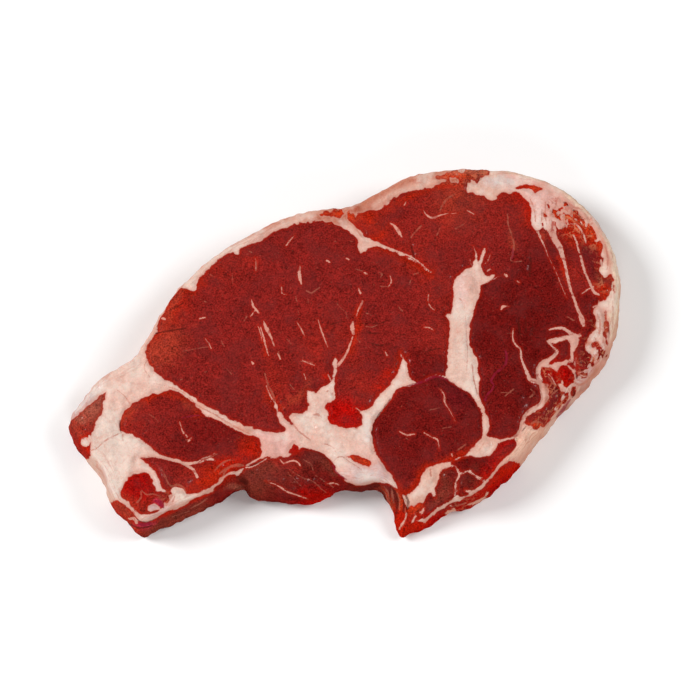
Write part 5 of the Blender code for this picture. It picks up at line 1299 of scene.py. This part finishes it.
def buildSkin():
    # The whole surface of the slice: the cut face is a patch inside the outline, rows of
    # the same points run over the shoulder and down the side, and the underside is a
    # patch with half as many points each way.
    s = sliceShape
    columns, rows = s["columns"], s["rows"]
    ring = outlineRing()
    edge, shoulder = ring[:, :2], ring[:, 2]
    outward = outwardOf(edge)
    drawnIn = dips(edge, undercuts)
    # over the shoulder: each row is the one outside it moved inwards
    turn = np.linspace(0, math.radians(s["shoulderTurn"]), s["shoulderRows"] + 1)
    inset = 1 - np.cos(turn)
    shoulderRows = [edge]
    for step in np.diff(inset):
        row = shoulderRows[-1]
        row = row - outwardOf(row, 5) * (step * shoulder)[:, None]
        shoulderRows.append(row + s["shoulderEasing"] * (smoothRound(row, 2) - row))
    slant = softStep(-outward[:, 1], *s["slantRange"])
    rimRing = np.column_stack([shoulderRows[-1], slant])
    patch = fillPatch(rimRing, columns, rows).reshape(-1, 3)
    topPlaces = np.column_stack([patch[:, :2], np.full(len(patch), s["fatLevel"])])
    print("grid laid out:", len(patch), "points on the face")

    topTissue = readTissue(topPlaces, patch[:, 2])
    topPlaces[:, 2], topRim = faceHeight(topPlaces, edge, shoulder, topTissue)
    print("face done")

    # the rest of the shoulder, from the face outwards, then down the side
    wall = []
    wallRim = []
    for row in shoulderRows[-2::-1]:
        places = np.column_stack([row, np.full(len(row), s["wallLevel"] * s["fatLevel"])])
        tissue = readTissue(places, slant)
        height, rim = faceHeight(places, edge, shoulder, tissue)
        wall.append(np.column_stack([row, height]))
        wallRim.append(rim)
    brow = wall[-1][:, 2]
    for share in np.linspace(1, 0, s["sideRows"] + 1)[1:]:
        height = s["footRadius"] + (brow - s["footRadius"]) * share
        down = 1 - share
        swell = s["sideBulge"] * np.sin(math.pi * (s["bulgeStart"] + s["bulgeSpan"] * down))
        swell *= softStep(down, *s["bulgeFade"])
        pull = drawnIn * (s["undercutLow"] - s["undercutFall"] * share) - swell
        wall.append(np.column_stack([edge - outward * pull[:, None], height]))
        wallRim.append(height - brow)
    for angle in np.linspace(0, math.pi / 2, s["footRows"] + 1)[1:]:
        pull = drawnIn + s["footRadius"] * (1 - math.cos(angle))
        height = np.full(len(edge), s["footRadius"] * (1 - math.sin(angle)))
        wall.append(np.column_stack([edge - outwardOf(edge, 6) * pull[:, None], height]))
        wallRim.append(height - brow)
    sideStart = s["shoulderRows"]
    wall = np.array(wall)
    # unevenness of the side, none where it meets the face or the ground
    for k in range(sideStart, len(wall) - 1):
        level = (k - sideStart + 1) / (len(wall) - sideStart)
        swell = wavesAt(wall[k] * (1, 1, 1.6), "side") + wavesAt(wall[k], "sideFine")
        swell = swell * math.sin(math.pi * level) - s["sideInset"]
        wall[k, :, :2] += outward * swell[:, None]
    wallPlaces = wall.reshape(-1, 3)
    wallSlant = np.tile(slant, len(wall))
    wallTissue = readTissue(wallPlaces, wallSlant)
    print("side done")

    half = wall[-1][::2]
    inner = half[:, :2] - outwardOf(half[:, :2]) * s["underInset"]
    baseRing = np.column_stack([inner, slant[::2]])
    base = fillPatch(baseRing, columns // 2, rows // 2).reshape(-1, 3)
    basePlaces = np.column_stack([base[:, :2], np.zeros(len(base))])
    baseTissue = readTissue(basePlaces, base[:, 2])
    depth, reach = s["underGroove"]
    lift = depth * np.exp(-(baseTissue["depth"] / reach) ** 2) + wavesAt(basePlaces[:, :2], "under")
    basePlaces[:, 2] = np.maximum(lift, 0)
    print("underside done")

    topTissue["rim"] = topRim
    wallTissue["rim"] = np.concatenate(wallRim)
    baseTissue["rim"] = nearestOn(basePlaces[:, :2], edge)[0] - s["fatLevel"]
    places = np.vstack([topPlaces, wallPlaces, basePlaces])
    tissues = [topTissue, wallTissue, baseTissue]
    tissue = {key: np.concatenate([t[key] for t in tissues]) for key in topTissue}
    return places, tissue, len(topPlaces), wall.shape[0]


def skinFaces(topCount, wallRows):
    # Quads of the face, the side and the underside. The side meets the underside in
    # triangles, two points to one.
    s = sliceShape
    columns, rows = s["columns"], s["rows"]
    count = 2 * (columns + rows)

    def patchFaces(first, across, along, upwards):
        grid = first + np.arange((across + 1) * (along + 1)).reshape(along + 1, across + 1)
        quads = np.stack([grid[:-1, :-1], grid[:-1, 1:], grid[1:, 1:], grid[1:, :-1]], -1)
        quads = quads.reshape(-1, 4)
        return quads if upwards else quads[:, ::-1]

    rings = [patchRim(columns, rows)]
    rings += [topCount + k * count + np.arange(count) for k in range(wallRows)]
    quads = [patchFaces(0, columns, rows, True)]
    quads += [quadFaces(lower, upper) for upper, lower in zip(rings, rings[1:])]
    baseFirst = topCount + wallRows * count
    quads.append(patchFaces(baseFirst, columns // 2, rows // 2, False))
    baseRim = baseFirst + patchRim(columns // 2, rows // 2)
    last = rings[-1]
    here, between, after = last[::2], last[1::2], np.roll(last, -2)[::2]
    nextBase = np.roll(baseRim, -1)
    triangles = np.vstack([
        np.stack([between, here, baseRim], 1),
        np.stack([nextBase, between, baseRim], 1),
        np.stack([after, between, nextBase], 1),
    ])
    return np.vstack(quads), triangles, count


uvLayout = {
    "faceCentre": (0.5, 0.652), "faceScale": 0.985 / 224,    # share of the map for each unit
    "baseCentre": (0.222, 0.153), "baseScale": 0.43 / 224,
    "strips": 4, "stripLeft": 0.45, "stripLength": 0.545,
    "stripTop": 0.295, "stripStep": 0.073, "stripHeight": 0.066, "stripFoot": 0.6,
}


def skinUv(places, quads, triangles, topCount, wallRows, count):
    # The map's upper two thirds hold the cut face seen from above. Below it lie the
    # underside and the side, which is cut into four strips.
    m = uvLayout
    baseFirst = topCount + wallRows * count
    plan = places[:, :2] - (places[:, :2].max(0) + places[:, :2].min(0)) / 2
    faceUv = np.array(m["faceCentre"]) + plan * m["faceScale"]
    baseUv = np.array(m["baseCentre"]) + plan * m["baseScale"]
    quarter = count / m["strips"]

    def wallUv(corner, anchor):
        # the corner's row and column, and the column that settles which strip it is in
        row, column = corner
        strip = np.floor(anchor / quarter)
        across = m["stripLeft"] + m["stripLength"] * (column - strip * quarter) / quarter
        down = strip * m["stripStep"] + m["stripHeight"] * row / wallRows
        return np.stack([across, m["stripTop"] - down], -1)

    uv = []
    for faces in (quads, triangles):
        corner = faceUv[np.minimum(faces, len(places) - 1)].copy()
        onTop = (faces < topCount).all(1)
        onBase = (faces >= baseFirst).all(1)
        corner[onBase] = baseUv[faces[onBase]]
        side = ~(onTop | onBase)
        index = faces[side]
        row = (index - topCount) // count + 1.0
        column = (index - topCount) % count
        rim = np.full(topCount, -1)
        rim[patchRim(sliceShape["columns"], sliceShape["rows"])] = np.arange(count)
        isRim = index < topCount
        column = np.where(isRim, rim[np.minimum(index, topCount - 1)], column)
        row = np.where(isRim, 0, row)
        baseRim = patchRim(sliceShape["columns"] // 2, sliceShape["rows"] // 2)
        under = np.zeros(len(places) - baseFirst + 1, dtype=int)
        under[baseRim] = 2 * np.arange(len(baseRim))
        isBase = index >= baseFirst
        column = np.where(isBase, under[np.clip(index - baseFirst, 0, len(under) - 1)], column)
        row = np.where(isBase, wallRows + m["stripFoot"], row)
        wraps = column.max(1) - column.min(1) > count / 2
        column = np.where(wraps[:, None] & (column < count / 2), column + count, column)
        anchor = np.repeat(column.min(1)[:, None], faces.shape[1], 1)
        corner[side] = wallUv((row, column), anchor)
        uv.append(corner.reshape(-1, 2))
    return np.vstack(uv)


def makeMesh(name, places, quads, triangles):
    # A smooth-shaded mesh of these places and faces.
    mesh = bpy.data.meshes.new(name)
    mesh.vertices.add(len(places))
    mesh.vertices.foreach_set("co", places.astype(np.float32).ravel())
    loops = np.concatenate([quads.ravel(), triangles.ravel()]).astype(np.int32)
    mesh.loops.add(len(loops))
    mesh.loops.foreach_set("vertex_index", loops)
    sizes = np.concatenate([np.full(len(quads), 4), np.full(len(triangles), 3)])
    mesh.polygons.add(len(sizes))
    starts = np.concatenate([[0], np.cumsum(sizes)[:-1]]).astype(np.int32)
    mesh.polygons.foreach_set("loop_start", starts)
    mesh.update(calc_edges=True)
    mesh.validate()
    mesh.shade_smooth()
    return mesh


def addValues(mesh, name, values):
    # One number, or a colour, for each point of the mesh.
    if values.ndim == 1:
        mesh.attributes.new(name, "FLOAT", "POINT").data.foreach_set("value", values)
        return
    full = np.column_stack([values, np.ones(len(values))]).astype(np.float32)
    mesh.attributes.new(name, "FLOAT_COLOR", "POINT").data.foreach_set("color", full.ravel())


def addVectors(mesh, name, values):
    # One vector for each point of the mesh.
    layer = mesh.attributes.new(name, "FLOAT_VECTOR", "POINT")
    layer.data.foreach_set("vector", values.astype(np.float32).ravel())


def addNode(tree, kind, inputs=None, **settings):
    # A node with its settings, whose inputs are links, numbers or colours.
    made = tree.nodes.new(kind)
    for key, value in settings.items():
        setattr(made, key, value)
    for key, value in (inputs or {}).items():
        if isinstance(value, bpy.types.NodeSocket):
            tree.links.new(value, made.inputs[key])
        elif isinstance(value, tuple):
            made.inputs[key].default_value = (*value, 1.0)
        else:
            made.inputs[key].default_value = value
    return made


def maths(tree, operation, *values):
    # One operation on these values.
    inputs = dict(enumerate(values))
    return addNode(tree, "ShaderNodeMath", inputs, operation=operation).outputs[0]


def swung(tree, value, strength, base):
    # The base plus the strength times the value's distance from a half.
    return maths(tree, "MULTIPLY_ADD", maths(tree, "SUBTRACT", value, 0.5), strength, base)


def stepped(tree, value, low, high, first=0.0, last=1.0):
    # A smooth step from the first value to the last as the value goes from low to high.
    return addNode(tree, "ShaderNodeMapRange", {
        "Value": value, "From Min": low, "From Max": high, "To Min": first, "To Max": last,
    }, interpolation_type="SMOOTHSTEP").outputs["Result"]


def mixed(tree, share, first, second, blend="MIX"):
    # The first colour, with this share of the second laid over it.
    return addNode(tree, "ShaderNodeMix", {0: share, 6: first, 7: second},
                   data_type="RGBA", blend_type=blend).outputs[2]


# Each noise: how many waves a metre, and its detail.
noises = {
    "fine": (1650.0, 3.0), "middle": (480.0, 3.0), "broad": (120.0, 2.0),
    "flecks": (1150.0, 2.0), "dusk": (95.0, 4.0), "border": (700.0, 3.0),
    "borderFine": (1900.0, 2.0), "thread": (850.0, 3.0), "threadFine": (2200.0, 2.0),
    "breaks": (430.0, 2.0), "netBend": (300.0, 2.0), "netWidth": (420.0, 2.0),
    "layers": (1.0, 3.0), "lobes": (110.0, 4.0), "veins": (330.0, 3.0),
    "specks": (1300.0, 2.0), "wet": (620.0, 3.0),
}


def noiseAt(tree, place, name, output="Fac"):
    # The named noise at a place, from 0 to 1.
    scale, detail = noises[name]
    return addNode(tree, "ShaderNodeTexNoise", {
        "Vector": place, "Scale": scale, "Detail": detail,
    }).outputs[output]


def newGroup(name, inputs, outputs):
    # A shader group. An input without a number is a vector. Gives the group, what goes
    # into it, and a function that links what comes out.
    group = bpy.data.node_groups.new(name, "ShaderNodeTree")
    for label, value in inputs.items():
        kind = "NodeSocketVector" if value is None else "NodeSocketFloat"
        socket = group.interface.new_socket(label, in_out="INPUT", socket_type=kind)
        if value is not None:
            socket.default_value = value
    for label in outputs:
        group.interface.new_socket(label, in_out="OUTPUT", socket_type="NodeSocketFloat")
    start = group.nodes.new("NodeGroupInput")
    end = group.nodes.new("NodeGroupOutput")

    def putOut(**values):
        for label, value in values.items():
            group.links.new(value, end.inputs[label])

    return group, start.outputs, putOut


# What the groups below are tuned by. A range is where a step starts and where it ends.
grainLook = {
    "clouds": (("fine", 3.0), ("middle", 0.7), ("broad", 0.55)),
    "fleckRange": (0.62, 0.76), "duskRange": (0.44, 0.66), "leanRelief": (0.4, 0.6),
    "borderFine": 0.5,
    "threadUneven": 0.9, "threadFine": 0.9, "lineRange": (-0.16, 0.14), "haloRange": (0.0, 1.7),
    "breakStep": (0.34, 0.50, 0.35, 1.0), "thinStep": (0.0, 0.3, 0.2, 1.0),
    "netBend": 0.005, "netWidthStep": (0.38, 0.66, -0.06, 0.14), "netRange": (-0.03, 0.05),
    "layerAcross": 0.75, "layerAlong": 55.0, "layerLine": 0.53, "layerLineRange": (0.0, 0.035),
    "veinShade": 0.30, "speckShade": 0.42, "veinRange": (0.0, 0.035),
    "pinkRange": (0.52, 0.74), "whiteRange": (0.36, 0.54), "fatRelief": (1.2, 0.6),
}


def fibreGrainGroup():
    # Cut muscle: clouds of light and dark of three sizes, duller patches and paler flecks.
    g = grainLook
    group, given, putOut = newGroup(
        "fibreGrain", {"Place": None, "Strength": 1.0}, ("Shade", "Flecks", "Dusk", "Height"),
    )
    made = {name: noiseAt(group, given["Place"], name) for name, _ in g["clouds"]}
    clouds = 0.0
    for name, strength in g["clouds"]:
        clouds = swung(group, made[name], strength, clouds)
    fineShare, middleShare = g["leanRelief"]
    middle = maths(group, "MULTIPLY", made["middle"], middleShare)
    putOut(
        Shade=maths(group, "MULTIPLY_ADD", clouds, given["Strength"], 1.0),
        Flecks=stepped(group, noiseAt(group, given["Place"], "flecks"), *g["fleckRange"]),
        Dusk=stepped(group, noiseAt(group, given["Place"], "dusk"), *g["duskRange"]),
        Height=maths(group, "MULTIPLY_ADD", made["fine"], fineShare, middle),
    )
    return group


def raggedMaskGroup():
    # A border that follows a distance kept on the surface, made ragged by two noises.
    group, given, putOut = newGroup(
        "raggedMask", {"Place": None, "Distance": 0.0, "Raggedness": 0.9, "Softness": 0.22},
        ("Mask", "Distance"),
    )
    rough = maths(group, "SUBTRACT", noiseAt(group, given["Place"], "border"), 0.5)
    finer = noiseAt(group, given["Place"], "borderFine")
    rough = swung(group, finer, grainLook["borderFine"], rough)
    moved = maths(group, "MULTIPLY_ADD", rough, given["Raggedness"], given["Distance"])
    outside = maths(group, "MULTIPLY", given["Softness"], -1.0)
    putOut(Mask=stepped(group, moved, outside, given["Softness"]), Distance=moved)
    return group


def threadMaskGroup():
    # A line of changing width: full where the way from it is shorter than its half width,
    # with an uneven edge, nearly broken in places and fainter where it is thin. Beside it
    # lies a soft halo.
    g = grainLook
    group, given, putOut = newGroup(
        "threadMask", {"Thread": None, "Unevenness": 0.5, "Breaks": 1.0}, ("Mask", "Halo"),
    )
    parts = addNode(group, "ShaderNodeSeparateXYZ", {0: given["Thread"]}).outputs
    squares = maths(group, "MULTIPLY", parts[0], parts[0])
    squares = maths(group, "MULTIPLY_ADD", parts[1], parts[1], squares)
    beside = maths(group, "SUBTRACT", maths(group, "SQRT", squares), parts[2])
    uneven = swung(group, given["Unevenness"], g["threadUneven"], beside)
    line = stepped(group, uneven, *g["lineRange"], 1.0, 0.0)
    line = maths(group, "MULTIPLY", line, stepped(group, parts[2], *g["thinStep"]))
    line = maths(group, "MULTIPLY", line, stepped(group, given["Breaks"], *g["breakStep"]))
    putOut(Mask=line, Halo=stepped(group, uneven, *g["haloRange"], 1.0, 0.0))
    return group


def netMaskGroup():
    # A fine net: the borders between bent cells, thicker in some places than in others.
    g = grainLook
    group, given, putOut = newGroup(
        "netMask", {"Place": None, "Cells Per Metre": 460.0}, ("Mask",),
    )
    bend = noiseAt(group, given["Place"], "netBend", "Color")
    bent = addNode(group, "ShaderNodeVectorMath", {0: bend, "Scale": g["netBend"]},
                   operation="SCALE")
    moved = addNode(group, "ShaderNodeVectorMath", {0: given["Place"], 1: bent.outputs[0]})
    cells = addNode(group, "ShaderNodeTexVoronoi", {
        "Vector": moved.outputs[0], "Scale": given["Cells Per Metre"],
    }, feature="DISTANCE_TO_EDGE")
    width = stepped(group, noiseAt(group, given["Place"], "netWidth"), *g["netWidthStep"])
    gap = maths(group, "SUBTRACT", cells.outputs["Distance"], width)
    putOut(Mask=stepped(group, gap, *g["netRange"], 1.0, 0.0))
    return group


def edgeLayersGroup():
    # Thin layers that follow the rim: noise that changes quickly with the distance from
    # the outline and slowly along it.
    g = grainLook
    group, given, putOut = newGroup("edgeLayers", {"Place": None, "Rim": 0.0}, ("Layer", "Lines"))
    parts = addNode(group, "ShaderNodeSeparateXYZ", {0: given["Place"]}).outputs
    spread = addNode(group, "ShaderNodeCombineXYZ", {
        0: maths(group, "MULTIPLY", given["Rim"], g["layerAcross"]),
        1: maths(group, "MULTIPLY", parts[0], g["layerAlong"]),
        2: maths(group, "MULTIPLY", parts[1], g["layerAlong"]),
    })
    layer = noiseAt(group, spread.outputs[0], "layers")
    offLine = maths(group, "ABSOLUTE", maths(group, "SUBTRACT", layer, g["layerLine"]))
    putOut(Layer=layer, Lines=stepped(group, offLine, *g["layerLineRange"], 1.0, 0.0))
    return group


def fatGrainGroup():
    # Fat is nearly smooth: soft lobes from white to pink, faint veins and fine specks.
    g = grainLook
    group, given, putOut = newGroup(
        "fatGrain", {"Place": None}, ("Shade", "Pinkness", "Whiteness", "Height"),
    )
    lobes, veins, specks = (
        noiseAt(group, given["Place"], name) for name in ("lobes", "veins", "specks")
    )
    shade = swung(group, veins, g["veinShade"], 1.0)
    offVein = maths(group, "ABSOLUTE", maths(group, "SUBTRACT", veins, 0.5))
    vein = stepped(group, offVein, *g["veinRange"], 1.0, 0.0)
    lobeShare, veinShare = g["fatRelief"]
    ridge = maths(group, "MULTIPLY", veins, veinShare)
    putOut(
        Shade=swung(group, specks, g["speckShade"], shade),
        Pinkness=maths(group, "ADD", vein, stepped(group, lobes, *g["pinkRange"])),
        Whiteness=stepped(group, lobes, *g["whiteRange"], 1.0, 0.0),
        Height=maths(group, "MULTIPLY_ADD", lobes, lobeShare, ridge),
    )
    return group


rawBeefLook = {
    # laid over the lean in this order: colour, and the most of it that covers
    "duskRed": ((0.155, 0.018, 0.017), 0.42),
    "edgeRed": ((0.38, 0.012, 0.003), 1.0),
    "fleckPink": ((0.36, 0.095, 0.06), 0.26),
    "netTan": ((0.58, 0.19, 0.095), 0.68),
    "faintFat": ((0.38, 0.11, 0.07), 0.55),
    # the marbling's pale colour, which also paints the glints as highlights
    "marbleFat": ((0.64, 0.30, 0.23), 0.88),
    # over the fat
    "lobeWhite": ((0.80, 0.68, 0.60), 0.55),
    "veinPink": ((0.63, 0.31, 0.24), 0.34),
    "layerPink": ((0.48, 0.15, 0.105), 0.5),
    "netRed": ((0.44, 0.07, 0.035), 0.50),
    "linePink": ((0.48, 0.15, 0.105), 0.65),
    "edgePink": ((0.63, 0.31, 0.24), 0.55),
    "rimTan": ((0.50, 0.21, 0.13), 0.50),
    "fatTint": (0.93, 0.90, 0.89),
    # over both
    "threadPink": ((0.56, 0.26, 0.20), 0.30),
    "threadShare": 0.90,
    "wine": ((0.23, 0.01, 0.028), 0.75),
    # the cut lines: painted shade in cuts, creases and hollows
    "cutShade": ((0.075, 0.009, 0.006), 0.7),
    # steps by the distance to the lean's edge or to the outline, in millimetres
    "redStep": (0.1, 1.5, 0.5, 0.0),
    "haloShare": 0.42,
    "pinkRange": (-1.3, 0.0),
    "tanRange": (0.2, 1.7),
    "wallRange": (-0.5, 0.5),
    "layerStep": (2.0, 7.0, 1.0, 0.12),
    "wallStreaks": 1.3,
    "layerRelief": 0.8,
    "leanRoughness": 0.45,
    "fatRoughness": 0.48,
    "shadeGloss": -0.25,
    "bumpDepth": 0.00020,
    # the gleam: least and most coat, and how far it keeps from borders and the outline
    "wetStep": (0.60, 0.68, 0.02, 0.55),
    "wetOffBorder": (0.8, 2.2),
    "wetOffRim": (0.5, 4.0),
    "shader": {
        "Specular IOR Level": 0.0, "Coat Roughness": 0.14, "Subsurface Weight": 0.12,
        "Subsurface Radius": (1.0, 0.3, 0.2), "Subsurface Scale": 0.0012,
    },
}


def rawBeef():
    # Lean and fat share one skin: the distance to the lean's edge, kept on the surface,
    # says which shows.
    look = rawBeefLook
    material = bpy.data.materials.new("rawBeef")
    material.use_nodes = True
    tree = material.node_tree
    shader = tree.nodes["Principled BSDF"]
    place = addNode(tree, "ShaderNodeTexCoord").outputs["Object"]

    def onSurface(name, output="Fac"):
        return addNode(tree, "ShaderNodeAttribute", attribute_name=name).outputs[output]

    def placeGroup(group, **inputs):
        made = addNode(tree, "ShaderNodeGroup", inputs, node_tree=group)
        if "Place" in made.inputs:
            tree.links.new(place, made.inputs["Place"])
        return made.outputs

    def times(first, second):
        return maths(tree, "MULTIPLY", first, second)

    def laidOver(under, *layers):
        for mask, name in layers:
            colour, share = look[name]
            under = mixed(tree, times(mask, share), under, colour)
        return under

    threadMask = threadMaskGroup()
    uneven = swung(tree, noiseAt(tree, place, "threadFine"), grainLook["threadFine"],
                   noiseAt(tree, place, "thread"))
    breaks = noiseAt(tree, place, "breaks")

    def familyMask(family, output="Mask"):
        mask = 0.0
        for k in range(len(threadLayers[family])):
            made = placeGroup(threadMask, Thread=onSurface(family + str(k), "Vector"),
                              Unevenness=uneven, Breaks=breaks)
            mask = maths(tree, "MAXIMUM", made[output], mask)
        return mask

    border = placeGroup(raggedMaskGroup(), Distance=onSurface("leanDepth"))
    grain = placeGroup(fibreGrainGroup())
    fatGrain = placeGroup(fatGrainGroup())
    rim = onSurface("rim")
    layers = placeGroup(edgeLayersGroup(), Rim=rim)
    nearRim = stepped(tree, rim, *look["layerStep"])
    net = times(placeGroup(netMaskGroup())["Mask"], onSurface("net"))
    thread, marble, faint, line, cut, wine = (
        familyMask(family) for family in ("pale", "marble", "faint", "line", "cut", "wine")
    )

    onWall = stepped(tree, rim, *look["wallRange"], 1.0, 0.0)
    onFace = maths(tree, "SUBTRACT", 1.0, onWall)
    streak = times(maths(tree, "SUBTRACT", layers["Layer"], 0.5), onWall)
    leanShade = maths(tree, "MULTIPLY_ADD", streak, look["wallStreaks"], grain["Shade"])
    halo = maths(tree, "MAXIMUM", familyMask("marble", "Halo"), familyMask("pale", "Halo"))
    nearFat = maths(tree, "MAXIMUM", stepped(tree, border["Distance"], *look["redStep"]),
                    times(halo, look["haloShare"]))
    # the marbling mask also lays on painted highlights (glints)
    lean = laidOver(
        mixed(tree, 1.0, onSurface("leanTone", "Color"), leanShade, "MULTIPLY"),
        (times(grain["Dusk"], onFace), "duskRed"), (nearFat, "edgeRed"),
        (grain["Flecks"], "fleckPink"), (net, "netTan"), (faint, "faintFat"),
        (marble, "marbleFat"),
    )
    fat = laidOver(
        mixed(tree, 1.0, onSurface("fatTone", "Color"), fatGrain["Shade"], "MULTIPLY"),
        (fatGrain["Whiteness"], "lobeWhite"), (fatGrain["Pinkness"], "veinPink"),
        (times(layers["Lines"], nearRim), "layerPink"), (net, "netRed"), (line, "linePink"),
        (stepped(tree, border["Distance"], *look["pinkRange"]), "edgePink"),
        (stepped(tree, rim, *look["tanRange"], 1.0, 0.0), "rimTan"),
    )
    fat = mixed(tree, 1.0, fat, look["fatTint"], "MULTIPLY")
    colour = mixed(tree, border["Mask"], fat, lean)
    threadColour = laidOver(fat, (1.0, "threadPink"))
    colour = mixed(tree, times(thread, look["threadShare"]), colour, threadColour)
    # cuts, creases and hollows are darkened with painted shade
    colour = laidOver(colour, (wine, "wine"), (cut, "cutShade"))

    paleShare = maths(tree, "MAXIMUM", maths(tree, "SUBTRACT", 1.0, border["Mask"]), thread)
    leanRough, fatRough = look["leanRoughness"], look["fatRoughness"]
    roughness = maths(tree, "MULTIPLY_ADD", paleShare, fatRough - leanRough, leanRough)
    grainSwing = maths(tree, "SUBTRACT", grain["Shade"], 1.0)
    roughness = maths(tree, "MULTIPLY_ADD", grainSwing, look["shadeGloss"], roughness)
    height = addNode(tree, "ShaderNodeMix", {
        0: border["Mask"], 2: fatGrain["Height"], 3: grain["Height"],
    }, data_type="FLOAT").outputs[0]
    layerRelief = times(nearRim, look["layerRelief"])
    relief = maths(tree, "MULTIPLY_ADD", layers["Layer"], layerRelief, height)
    bump = addNode(tree, "ShaderNodeBump", {"Height": relief, "Distance": look["bumpDepth"]})

    wet = stepped(tree, noiseAt(tree, place, "wet"), *look["wetStep"])
    offBorder = maths(tree, "ABSOLUTE", border["Distance"])
    wet = times(wet, stepped(tree, rim, *look["wetOffRim"]))
    wet = times(wet, stepped(tree, offBorder, *look["wetOffBorder"]))

    for key, value in (
        ("Base Color", colour), ("Roughness", roughness), ("Coat Weight", wet),
        ("Normal", bump.outputs["Normal"]),
    ):
        tree.links.new(value, shader.inputs[key])
    for key, value in look["shader"].items():
        shader.inputs[key].default_value = value
    return material


def makeSteak():
    # The skin as one piece in the steak's place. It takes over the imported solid's middle.
    s = sliceShape
    places, tissue, topCount, wallRows = buildSkin()
    quads, triangles, count = skinFaces(topCount, wallRows)
    uv = skinUv(places, quads, triangles, topCount, wallRows, count)
    middle = (places[:, :2].max(0) + places[:, :2].min(0)) / 2
    cadMiddle = np.array((steakLow + steakHigh)[:2]) / 2
    metres = places * s["metresPerUnit"]
    metres[:, :2] += cadMiddle - middle * s["metresPerUnit"]
    mesh = makeMesh("steakSkin", metres, quads, triangles)
    for name, key in (
        ("leanDepth", "depth"), ("rim", "rim"), ("net", "net"),
        ("leanTone", "lean"), ("fatTone", "fat"),
    ):
        addValues(mesh, name, tissue[key])
    for family in threadLayers:
        for k, field in enumerate(familyOf(tissue, family)):
            addVectors(mesh, family + str(k), field)
    layer = mesh.uv_layers.new(name="OFBake")
    layer.uv.foreach_set("vector", uv.astype(np.float32).ravel())
    mesh.materials.append(rawBeef())
    skin = bpy.data.objects.new("steakSkin", mesh)
    bpy.context.scene.collection.objects.link(skin)
    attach(skin, "root")
    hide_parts("steak")
    print("skin made:", len(quads) * 2 + len(triangles), "triangles")


studio = {
    "floorSize": 4.0,
    "floorColour": (0.93, 0.93, 0.93),
    "floorRoughness": 0.9,
    "floorSpecular": 0.1,
    "worldColour": (1.0, 0.98, 0.96),
    "worldStrength": 0.22,
    # name: place, size, power, all in metres and watts
    "lamps": {
        "leftHigh": ((-1.1, 0.15, 1.05), 0.7, 18.8),
        "rightHigh": ((1.1, 0.1, 1.15), 0.8, 11.6),
        "front": ((0.1, -1.5, 0.8), 0.8, 8.4),
    },
    "cameraElevation": 70.0,
    "cameraDistance": 0.9,
    "cameraLens": 115.7,
    "cameraSensor": 36.0,
    "cameraNearest": 0.05,
    "lookAt": (0.00092, -0.00115, 0.011),
}


def makeStudio():
    # A plain pale floor, soft round lamps that face the steak, and the camera.
    mesh = bpy.data.meshes.new("floor")
    half = studio["floorSize"] / 2
    corners = [(x * half, y * half, 0) for x, y in ((-1, -1), (1, -1), (1, 1), (-1, 1))]
    mesh.from_pydata(corners, [], [(0, 1, 2, 3)])
    floor = bpy.data.objects.new("floor", mesh)
    bpy.context.scene.collection.objects.link(floor)
    material = bpy.data.materials.new("paleFloor")
    material.use_nodes = True
    shader = material.node_tree.nodes["Principled BSDF"]
    shader.inputs["Base Color"].default_value = (*studio["floorColour"], 1.0)
    shader.inputs["Roughness"].default_value = studio["floorRoughness"]
    shader.inputs["Specular IOR Level"].default_value = studio["floorSpecular"]
    mesh.materials.append(material)

    world = bpy.data.worlds.new("studio")
    world.use_nodes = True
    background = world.node_tree.nodes["Background"]
    background.inputs["Color"].default_value = (*studio["worldColour"], 1.0)
    background.inputs["Strength"].default_value = studio["worldStrength"]
    bpy.context.scene.world = world

    target = np.array(studio["lookAt"])
    for name, (place, width, power) in studio["lamps"].items():
        data = bpy.data.lights.new(name, "AREA")
        data.shape = "DISK"
        data.size = width
        data.energy = power
        lamp = bpy.data.objects.new(name, data)
        lamp.location = place
        x, y, z = target - np.array(place)
        lamp.rotation_euler = (math.atan2(math.hypot(x, y), -z), 0, math.atan2(y, x) - math.pi / 2)
        bpy.context.scene.collection.objects.link(lamp)

    tilt = math.radians(studio["cameraElevation"])
    data = bpy.data.cameras.new("camera")
    data.lens = studio["cameraLens"]
    data.sensor_width = studio["cameraSensor"]
    data.clip_start = studio["cameraNearest"]
    camera = bpy.data.objects.new("camera", data)
    back = np.array((0, -math.cos(tilt), math.sin(tilt)))
    camera.location = target + back * studio["cameraDistance"]
    camera.rotation_euler = (math.pi / 2 - tilt, 0, 0)
    bpy.context.scene.collection.objects.link(camera)
    bpy.context.scene.camera = camera
    bpy.context.scene.view_settings.view_transform = "Standard"
    print("studio ready")


makeSteak()
makeStudio()
